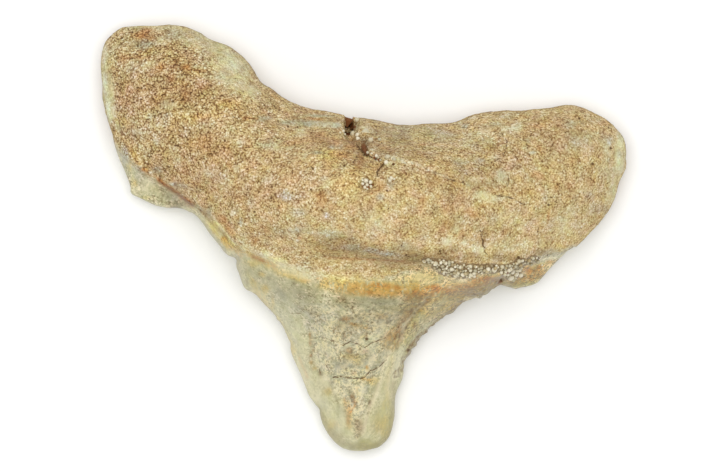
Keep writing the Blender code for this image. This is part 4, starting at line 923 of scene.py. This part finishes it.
def paint(piece):
    """Gives the skin the values that its material reads."""
    skin = Skin(piece.data)
    warp = drift(skin, *STAIN_DRIFT, 1.0, 9.0)
    skin.paint("collar", above_collar(skin))
    skin.paint("dentine", inside_dentine(skin))
    across, along = skin.spots.T
    x, y, half_width, half_height, more = COARSE_PATCH
    coarse = read_off(COARSE_ACROSS, across) + COARSER_UPWARD * along
    coarse += more * np.exp(-((across - x) / half_width) ** 4 - ((along - y) / half_height) ** 4)
    coarse *= read_off(COARSE_ALONG, along)
    on_crown = (above_collar(skin) < 0) & (along < CROWN_TOP)
    skin.paint("coarse", coarse * np.where(on_crown, read_off(CROWN_ACROSS, across), 1.0))
    # Painted shade, darker towards the root's upper edge
    skin.paint("deep", read_off(DEEPER_UPWARD, along - 0.15 * across))
    for name in sorted(set(BLOTS) | set(STREAKS)):
        skin.paint(name, stained(skin, warp, name))
    crack = np.zeros(len(skin.points))
    ragged = shaken(skin)
    for line, half_width, depth in CRACKS:
        away = distance_to(line, ragged) / half_width
        crack = np.maximum(crack, (1 - away / 3) * min(1.25, 0.5 + 4.5 * depth))
    for x, y, radius, _ in PITS:
        crack = np.maximum(crack, 1.15 - from_spot(skin, x, y) / (2.4 * radius))
    # Brown along the creases, darker where deeper: painted shadow along the ledge under the bulge, and the
    # brown borders of the bare dentine
    crease = np.zeros(len(skin.points))
    for line, half_width, depth in CREASES:
        away = distance_to(line, skin.spots) / half_width
        crease = np.maximum(crease, np.exp(-(away**2)) * depth / 0.14)
    # Dark brown in the deepest hollows and the cleft: dirt, and painted shade there
    dirt = np.zeros(len(skin.points))
    for x, y, radius, strength in DIRT_AND_SHADE:
        away = from_spot(skin, x, y) / radius
        dirt = np.maximum(dirt, strength * np.exp(-(away**3)))
    dirt = np.maximum(dirt, 1 - ease(distance_to(CLEFT[0], skin.spots), 0.8 * CLEFT[1], 1.1 * CLEFT[1]))
    silt = np.zeros(len(skin.points))
    for line, half_width in SAND_BEDS:
        away = distance_to(line, skin.spots + 0.5 * warp) / (half_width + 0.14)
        silt = np.maximum(silt, 1 - ease(away, 0.6, 1.4))
    skin.paint("crack", crack * skin.upward)
    skin.paint("crease", crease * skin.upward)
    skin.paint("dirt", dirt * skin.upward)
    skin.paint("silt", silt * skin.upward)
    # Painted shade on the steep sides, where the normal faces sideways
    skin.paint("side", 1 - ease(np.abs(skin.normals[:, 2]), *SIDE_SHADE_SLOPES))
    skin.paint("broken", near(skin, BROKEN_EDGE, 0.7))
    skin.paint("lumpy", near(skin, LUMPY_EDGE, 1.1))


class Wire:
    """An output of a node. Arithmetic on it adds Math nodes."""

    def __init__(self, recipe, socket):
        self.recipe = recipe
        self.socket = socket

    def maths(self, operation, *values):
        return self.recipe.add("ShaderNodeMath", {"operation": operation}, dict(enumerate(values)))

    def __add__(self, other):
        return self.maths("ADD", self, other)

    def __radd__(self, other):
        return self.maths("ADD", other, self)

    def __sub__(self, other):
        return self.maths("SUBTRACT", self, other)

    def __rsub__(self, other):
        return self.maths("SUBTRACT", other, self)

    def __mul__(self, other):
        return self.maths("MULTIPLY", self, other)

    def __rmul__(self, other):
        return self.maths("MULTIPLY", other, self)


class Recipe:
    """A material while its nodes are being added."""

    def __init__(self, name):
        self.material = bpy.data.materials.new(name)
        self.material.use_nodes = True
        self.nodes = self.material.node_tree.nodes
        self.links = self.material.node_tree.links
        self.nodes.clear()

    def add(self, kind, settings=None, sockets=None, out=0):
        """Adds a node: its settings first, then the values or wires of its sockets."""
        node = self.nodes.new(kind)
        place = divmod(len(self.nodes), NODES_IN_COLUMN)
        node.location = [gap * steps for gap, steps in zip(NODE_GAP, place)]
        for name, value in (settings or {}).items():
            if name == "stops":
                self.set_stops(node.color_ramp, value)
            else:
                setattr(node, name, value)
        for name, value in (sockets or {}).items():
            socket = node.inputs[name]
            if isinstance(value, Wire):
                self.links.new(value.socket, socket)
            elif socket.type == "RGBA":
                socket.default_value = (*value[:3], 1)
            else:
                socket.default_value = value
        return Wire(self, node.outputs[out]) if node.outputs else node

    @staticmethod
    def set_stops(ramp, stops):
        while len(ramp.elements) < len(stops):
            ramp.elements.new(1)
        for element, (place, tone) in zip(ramp.elements, stops):
            element.position = place
            element.color = (*tone[:3], 1)

    def painted(self, name):
        """A value that the mesh keeps for each point."""
        return self.add("ShaderNodeAttribute", {"attribute_name": name}, out="Fac")

    def object_mm(self):
        """The place on the piece, in mm."""
        place = self.add("ShaderNodeTexCoord", out="Object")
        return self.vector("MULTIPLY", place, (1 / MM,) * 3)

    def clamped(self, operation, *values):
        """Arithmetic whose outcome is kept between 0 and 1."""
        settings = {"operation": operation, "use_clamp": True}
        return self.add("ShaderNodeMath", settings, dict(enumerate(values)))

    def vector(self, operation, *values):
        return self.add("ShaderNodeVectorMath", {"operation": operation}, dict(enumerate(values)))

    def cloud(self, place, scale, detail=2.0, roughness=0.5, out="Fac"):
        """Noise between 0 and 1, with scale features to each mm."""
        sockets = {"Vector": place, "Scale": scale, "Detail": detail, "Roughness": roughness}
        return self.add("ShaderNodeTexNoise", sockets=sockets, out=out)

    def cells(self, place, scale, out="Distance"):
        """Cells with scale of them to each mm."""
        return self.add("ShaderNodeTexVoronoi", sockets={"Vector": place, "Scale": scale}, out=out)

    def lot(self, place, scale):
        """One random number for each cell."""
        tint = self.cells(place, scale, out="Color")
        return self.add("ShaderNodeSeparateColor", sockets={0: tint})

    def ease(self, value, low, high, start=0.0, end=1.0):
        """start below low, end above high and smooth between."""
        sockets = {"Value": value, "From Min": low, "From Max": high, "To Min": start, "To Max": end}
        return self.add("ShaderNodeMapRange", {"interpolation_type": "SMOOTHSTEP"}, sockets)

    def ramp(self, value, stops):
        return self.add("ShaderNodeValToRGB", {"stops": stops}, {0: value})

    def mix(self, factor, first, second, blend="MIX"):
        """The second colour over the first, by the factor."""
        settings = {"data_type": "RGBA", "blend_type": blend}
        return self.add("ShaderNodeMix", settings, {0: factor, 6: first, 7: second}, out=2)

    def toned(self, factor, colour, tone, ground):
        """Turns the ground tone of a colour into another tone and keeps its light and dark."""
        ratio = [new / old for new, old in zip(tone, ground)]
        return self.mix(factor, colour, ratio, "MULTIPLY")

    def varied(self, colour, place, scale, red, blue):
        """The colour with its red and its blue each wandering by up to these shares."""
        swing = self.cloud(place, scale, 4.0, 0.65, out="Color")
        swing = self.vector("MULTIPLY_ADD", swing, (2 * red, 0, 2 * blue), (1 - red, 1, 1 - blue))
        return self.vector("MULTIPLY", colour, swing)

    def finish(self, colour, roughness, height, coat=None, **constants):
        """Feeds the shader; height is in mm."""
        normal = self.add("ShaderNodeBump", sockets={"Height": height, "Distance": MM, "Strength": 1.0})
        sockets = {"Base Color": colour, "Roughness": roughness, "Normal": normal}
        if coat is not None:
            sockets["Coat Weight"] = coat
        sockets.update(constants)
        shader = self.add("ShaderNodeBsdfPrincipled", sockets=sockets)
        self.add("ShaderNodeOutputMaterial", sockets={"Surface": shader})
        return self.material


# The stains in the order in which they lie over one another
LAYERS = (
    "gold", "rosy", "rust", "ochre", "cream", "grey", "blue", "olive", "orange", "amber", "brown", "pale",
)
# How unevenly a stain covers the crown, and how much of it on average
SWINGS = {
    "gold": (2.4, 1.0), "rust": (2.4, 1.0), "ochre": (3.0, 0.95), "orange": (3.2, 1.0), "amber": (3.6, 0.95),
    "brown": (4.5, 0.8), "pale": (2.2, 0.95),
}


def tooth_material(tones):
    """Porous root, waxy enamel and bare dentine, told apart by what the skin was painted with."""
    r = Recipe("fossil_tooth_surface")
    place = r.object_mm()
    wander = r.cloud(place, 1.3, 3.0) - 0.5
    fine_wander = r.cloud(place, 4.0, 2.0, 0.6) - 0.5
    root = r.ease(r.painted("collar") + 0.7 * wander + 0.7 * fine_wander, -0.22, 0.25)
    bare = r.ease(r.painted("dentine") + 2.0 * wander + 0.6 * fine_wander, -0.3, 0.9)
    coarse = r.painted("coarse")
    calm = r.clamped("ADD", 1.3 * r.painted("cream"), r.painted("grey") + r.painted("pale"))

    # Root: light grains and brown gaps
    lot = r.lot(place, 5.6)
    gap = r.ease(r.cells(place, 5.6), 0.42, 0.8)
    grit = r.cloud(place, 6.5, 1.0) - 0.5
    fine = r.cloud(place, 2.4, 3.0, 0.65) - 0.5
    patch = r.cloud(place, 0.7, 3.0, 0.6) - 0.5
    grain = 0.2 * (lot - 0.5) + 0.8 * grit + 0.5 * fine - 0.2 * (gap - 0.35)
    # The root's value is lowered by the painted shade towards its upper edge
    value = 0.56 + 0.42 * patch + coarse * grain * (1.0 - 0.72 * calm) - r.painted("deep")
    root_colour = r.ramp(value, (
        (0.1, tones.root_dark), (0.32, tones.root_brown), (0.52, tones.root_tan),
        (0.72, tones.root_sand), (0.92, tones.root_light),
    ))
    root_colour = r.varied(root_colour, place, 0.9, 0.22, 0.5)
    for name in LAYERS:
        root_colour = r.toned(r.painted(name), root_colour, getattr(tones, name), tones.root_tan)
    pores = r.ease(r.cells(place, 1.25), 0.07, 0.11, 1.0, 0.0) * r.ease(r.cloud(place, 0.5), 0.45, 0.6)
    root_colour = r.mix(pores * 0.75, root_colour, tones.root_dark)

    # Enamel: waxy, in streaks that run to the tip
    streak = r.cloud(r.vector("MULTIPLY", place, (1.6, 0.28, 0.8)), 1.0, 4.0, 0.6) - 0.5
    jittered = r.vector("MULTIPLY_ADD", r.cloud(place, 9.0, out="Color"), (0.3, 0.3, 0.3), place)
    speck = r.lot(jittered, 6.5) - 0.5
    glint = r.lot(jittered, 5.6) - 0.5
    busy = r.ease(r.cloud(place, 0.8, 3.0), 0.38, 0.62, 0.45, 1.7)
    glow = r.clamped("ADD", r.painted("orange"), 0.7 * r.painted("gold"))
    crown_grain = coarse * busy * (1.0 - 0.35 * glow) * (0.5 * grit + 0.55 * speck)
    enamel_colour = r.ramp(0.492 + 0.6 * streak + 0.5 * fine + crown_grain, (
        (0.0, tones.enamel_deep), (0.3, tones.enamel_shade), (0.72, tones.enamel), (1.0, tones.root_light),
    ))
    enamel_colour = r.varied(enamel_colour, place, 0.8, 0.07, 0.2)

    # Dentine: rough and flaky, with pale and brown specks
    rough = r.cloud(place, 1.6, 5.0, 0.65) - 0.5
    dentine_colour = r.ramp(0.495 + 1.45 * rough + busy * (0.7 * grit + 0.6 * speck), (
        (0.06, tones.dentine_deep), (0.32, tones.dentine_shade), (0.56, tones.dentine), (0.84, tones.pale),
    ))
    dentine_colour = r.varied(dentine_colour, place, 1.1, 0.1, 0.3)
    crown_colour = r.mix(bare, enamel_colour, dentine_colour)
    # Painted glints: sparse pale specks over the crown
    crown_colour = r.mix(coarse * r.ease(glint, 0.4, 0.44, 0.0, 0.34), crown_colour, tones.root_light)
    crown_colour = r.mix(coarse * r.ease(speck, -0.47, -0.43, 0.2, 0.0), crown_colour, tones.brown)
    stripes = r.cloud(r.vector("MULTIPLY", place, (3.2, 0.7, 1.0)), 1.0, 3.0, 0.6) - 0.5
    lively = 1.4 * stripes + 0.7 * fine + 0.5 * grit + 0.2 * speck
    for name in LAYERS:
        swing, middle = SWINGS.get(name, (1.5, 0.95))
        share = r.painted(name) * r.clamped("MULTIPLY_ADD", lively, swing, middle)
        if name == "pale":
            crown_colour = r.mix(0.52 * share, crown_colour, tones.root_light)
        else:
            crown_colour = r.toned(share, crown_colour, getattr(tones, name), tones.dentine)

    # Painted shade, dirt with painted shade in the hollows, cracks and the broken edge over all of it
    colour = r.mix(root, crown_colour, root_colour)
    # Painted shade: the shade entries and the steep sides, darkened towards a greyish tone
    shade = r.clamped("ADD", r.painted("shade") * (1.0 + fine), r.painted("side") * (0.8 + 1.2 * fine))
    colour = r.toned(shade, colour, tones.shade, (1, 1, 1))
    ragged = r.ease(r.painted("broken") + 1.6 * wander, 0.45, 0.75)
    colour = r.mix(ragged * r.ease(fine, -0.15, 0.1, 0.7, 0.15), colour, tones.brown)
    colour = r.mix(r.painted("lumpy") * r.ease(fine, -0.1, 0.1, 0.1, 0.5), colour, tones.dentine_deep)
    silt = r.ease(r.painted("silt") + 0.8 * fine_wander, 0.3, 0.8)
    colour = r.mix(silt * 0.8, colour, tones.silt)
    # Brown along the creases: painted shadow along the ledge, and the brown borders of the dentine
    colour = r.toned(r.painted("crease") * 0.6, colour, tones.brown, tones.root_tan)
    # Dirt and painted shade in the deepest hollows
    dirt = r.ease(r.painted("dirt") + 0.4 * fine_wander, 0.3, 0.6)
    colour = r.mix(dirt, colour, tones.dirt)
    broken_up = r.cloud(place, 1.7, 2.0) - 0.5
    crack = r.ease(r.painted("crack") + 1.1 * broken_up + 0.5 * fine_wander, 0.5, 0.85)
    colour = r.mix(crack * 0.85, colour, tones.root_dark)

    root_height = 0.06 * coarse * (grit + fine - 0.5 * gap + 0.3 * lot) - 0.04 * pores
    crown_height = 0.01 * fine + bare * (0.06 * rough + 0.025 * grit)
    height = root * root_height + (1.0 - root) * crown_height
    roughness = 0.42 + 0.4 * root + 0.26 * bare * (1.0 - root)
    coat = 0.25 * (1.0 - root) * (1.0 - bare) * (1.0 - dirt)
    return r.finish(colour, roughness, height, coat, **{"Coat Roughness": 0.35, "Specular IOR Level": 0.4})


def sand_material(tones):
    """Quartz grains, each with its own tone."""
    r = Recipe("sand_grain_surface")
    place = r.object_mm()
    mottle = r.cloud(place, 5.0, 2.0)
    colour = r.ramp(r.painted("tone"), (
        (0.0, tones.dark), (0.14, tones.tan), (0.36, tones.grey), (0.62, tones.cream), (0.95, tones.pale),
    ))
    colour = r.mix(r.ease(mottle, 0.4, 0.7, 0.0, 0.35), colour, tones.tan)
    return r.finish(colour, 0.45 + 0.2 * mottle, 0.02 * mottle, **{"Specular IOR Level": 0.5})


def floor_material(tones):
    """Matte and all but white."""
    r = Recipe("floor_surface")
    place = r.add("ShaderNodeTexCoord", out="Object")
    return r.finish(tones.floor_colour, 0.9, 0.002 * r.cloud(place, 400.0))


class FOSSIL_OT_tooth(bpy.types.Operator):
    """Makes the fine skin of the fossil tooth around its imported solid"""

    bl_idname = "fossil.tooth"
    bl_label = "Finish the tooth"

    def execute(self, context):
        settings = context.scene.fossil_tooth
        tooth = fine_copy("tooth", settings.skin_step)
        pull(tooth)
        refine(tooth)
        roughen(tooth, settings)
        pored(tooth)
        carve(tooth)
        paint(tooth)
        only(tooth)
        bpy.ops.object.shade_smooth()
        tooth.data.materials.clear()
        tooth.data.materials.append(tooth_material(settings))
        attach(tooth, "root")
        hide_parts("tooth")
        return {"FINISHED"}


def pebble(number, draw):
    """One irregular rounded grain, 1 across, with a few dozen faces."""
    bpy.ops.mesh.primitive_cube_add(size=1)
    grain = bpy.context.object
    grain.name = f"grain_{number}"
    finished_with(grain, "SUBSURF", levels=1, render_levels=1)
    finished_with(grain, "CAST", factor=ROUNDNESS, cast_type="SPHERE", radius=0.5)
    skin = Skin(grain.data)
    squeeze = draw.uniform(*SQUEEZE, 3)
    lumps = 1 + draw.uniform(-UNEVENNESS, UNEVENNESS, len(skin.points))
    points = skin.points * squeeze * lumps[:, None]
    points /= np.ptp(points, axis=0).max()
    grain.data.vertices.foreach_set("co", points.astype(np.float32).ravel())
    return grain


def sprinkled(draw, small, large):
    """Places of the grains: x, y, width, layer and tone, close together without much overlap."""
    grains = [(x, y, width, 0, tone) for x, y, width, tone in STONES]
    for line, half_width in SAND_BEDS:
        line = np.array(line)
        runs = np.hypot(*np.diff(line, axis=0).T)
        for attempt in range(SAND_TRIES):
            run = draw.choice(len(runs), p=runs / runs.sum())
            middle = line[run] + (line[run + 1] - line[run]) * draw.random()
            angle, away = draw.random() * 2 * math.pi, half_width * math.sqrt(draw.random())
            x, y = middle + away * np.array([math.cos(angle), math.sin(angle)])
            width = draw.uniform(small, large)
            layer = int(attempt > SAND_TRIES * (1 - SECOND_LAYER))
            room = SAND_ROOM * (1 + layer)
            beside = [grain for grain in grains if grain[3] == layer]
            if all(math.hypot(a - x, b - y) > room * (w + width) / 2 for a, b, w, *_ in beside):
                grains.append((x, y, width, layer, draw.random()))
    return grains


class FOSSIL_OT_sand(bpy.types.Operator):
    """Adds the sand grains that are cemented in the groove and in the vessel holes"""

    bl_idname = "fossil.sand"
    bl_label = "Add the cemented sand"

    def execute(self, context):
        settings = context.scene.fossil_sand
        tooth = bpy.data.objects["fossil_tooth"]
        draw = np.random.default_rng(SEED)
        shapes = [pebble(number, draw) for number in range(PEBBLE_SHAPES)]
        ground = BVHTree.FromObject(tooth, context.evaluated_depsgraph_get())
        pieces = []
        for x, y, width, layer, tone in sprinkled(draw, settings.small_grain / MM, settings.large_grain / MM):
            above = Vector((x, y, DROP_HEIGHT_MM)) * MM
            hit, normal, _, _ = ground.ray_cast(above, Vector((0, 0, -1)))
            if hit is None:
                raise RuntimeError(f"no ground under the grain at {x:.2f}, {y:.2f}")
            lift = GRAIN_LIFT + LAYER_LIFT * layer - max(0, width - BIG_GRAIN_MM)
            spot = hit + normal * lift * width * MM
            grain = bpy.data.objects.new("grain", shapes[draw.integers(len(shapes))].data.copy())
            turn = Euler(draw.uniform(0, 2 * math.pi, 3)).to_matrix().to_4x4()
            grain.data.transform(Matrix.Translation(spot) @ turn @ Matrix.Scale(width * MM, 4))
            skin = Skin(grain.data)
            skin.paint("tone", np.full(len(skin.points), tone))
            context.scene.collection.objects.link(grain)
            pieces.append(grain)
        for shape in shapes:
            bpy.data.objects.remove(shape)
        only(*pieces)
        bpy.ops.object.join()
        sand = context.object
        sand.name = "cemented_sand"
        bpy.ops.object.shade_smooth()
        sand.data.materials.clear()
        sand.data.materials.append(sand_material(settings))
        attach(sand, "root")
        return {"FINISHED"}


class FOSSIL_OT_stage(bpy.types.Operator):
    """Adds the pale floor, the soft studio light and the camera that looks straight down"""

    bl_idname = "fossil.stage"
    bl_label = "Set the stage"

    def execute(self, context):
        settings = context.scene.fossil_stage
        bpy.ops.object.select_all(action="DESELECT")
        bpy.ops.mesh.primitive_plane_add(size=settings.floor_size)
        floor = context.object
        floor.name = "floor"
        floor.data.materials.append(floor_material(settings))
        world = bpy.data.worlds.new("soft_sky")
        world.use_nodes = True
        background = world.node_tree.nodes["Background"]
        background.inputs["Color"].default_value = (1, 1, 1, 1)
        background.inputs["Strength"].default_value = settings.sky_light
        context.scene.world = world
        self.lamp("main_light", settings.main_light)
        self.camera(context, settings)
        context.scene.view_settings.view_transform = "Standard"
        return {"FINISHED"}

    @staticmethod
    def lamp(name, power):
        """A square soft light that faces the tooth."""
        facing = (-Vector(LAMP_PLACE)).to_track_quat("-Z", "Y").to_euler()
        bpy.ops.object.light_add(type="AREA", location=LAMP_PLACE, rotation=facing)
        lamp = bpy.context.object
        lamp.name = name
        lamp.data.energy = power
        lamp.data.size = LAMP_SIZE

    @staticmethod
    def camera(context, settings):
        """Looks straight down, with the root at the top of the picture."""
        bpy.ops.object.camera_add(rotation=(0, 0, 0))
        camera = context.object
        camera.name = "camera"
        camera.data.lens = settings.focal_length / MM
        away = settings.picture_width * camera.data.lens / camera.data.sensor_width
        camera.location = (settings.camera_x, settings.camera_y, settings.middle_height + away)
        camera.data.clip_start, camera.data.clip_end = CAMERA_SEES
        context.scene.camera = camera


class FOSSIL_PT_panel(bpy.types.Panel):
    """Lists the steps that finish the fossil tooth"""

    bl_label = "Fossil Tooth"
    bl_idname = "FOSSIL_PT_panel"
    bl_space_type = "VIEW_3D"
    bl_region_type = "UI"
    bl_category = TAB

    def draw(self, context):
        for step in STEPS:
            self.layout.operator(step.bl_idname)


STEPS = (FOSSIL_OT_tooth, FOSSIL_OT_sand, FOSSIL_OT_stage)
GROUPS = {"fossil_tooth": ToothSettings, "fossil_sand": SandSettings, "fossil_stage": StageSettings}


def register():
    for kind in (*GROUPS.values(), *STEPS, FOSSIL_PT_panel):
        bpy.utils.register_class(kind)
    for name, kind in GROUPS.items():
        setattr(bpy.types.Scene, name, bpy.props.PointerProperty(type=kind))


def unregister():
    for name in GROUPS:
        delattr(bpy.types.Scene, name)
    for kind in reversed((*GROUPS.values(), *STEPS, FOSSIL_PT_panel)):
        bpy.utils.unregister_class(kind)


def main():
    register()
    bpy.ops.fossil.tooth()
    bpy.ops.fossil.sand()
    bpy.ops.fossil.stage()


if __name__ == "__main__":
    main()
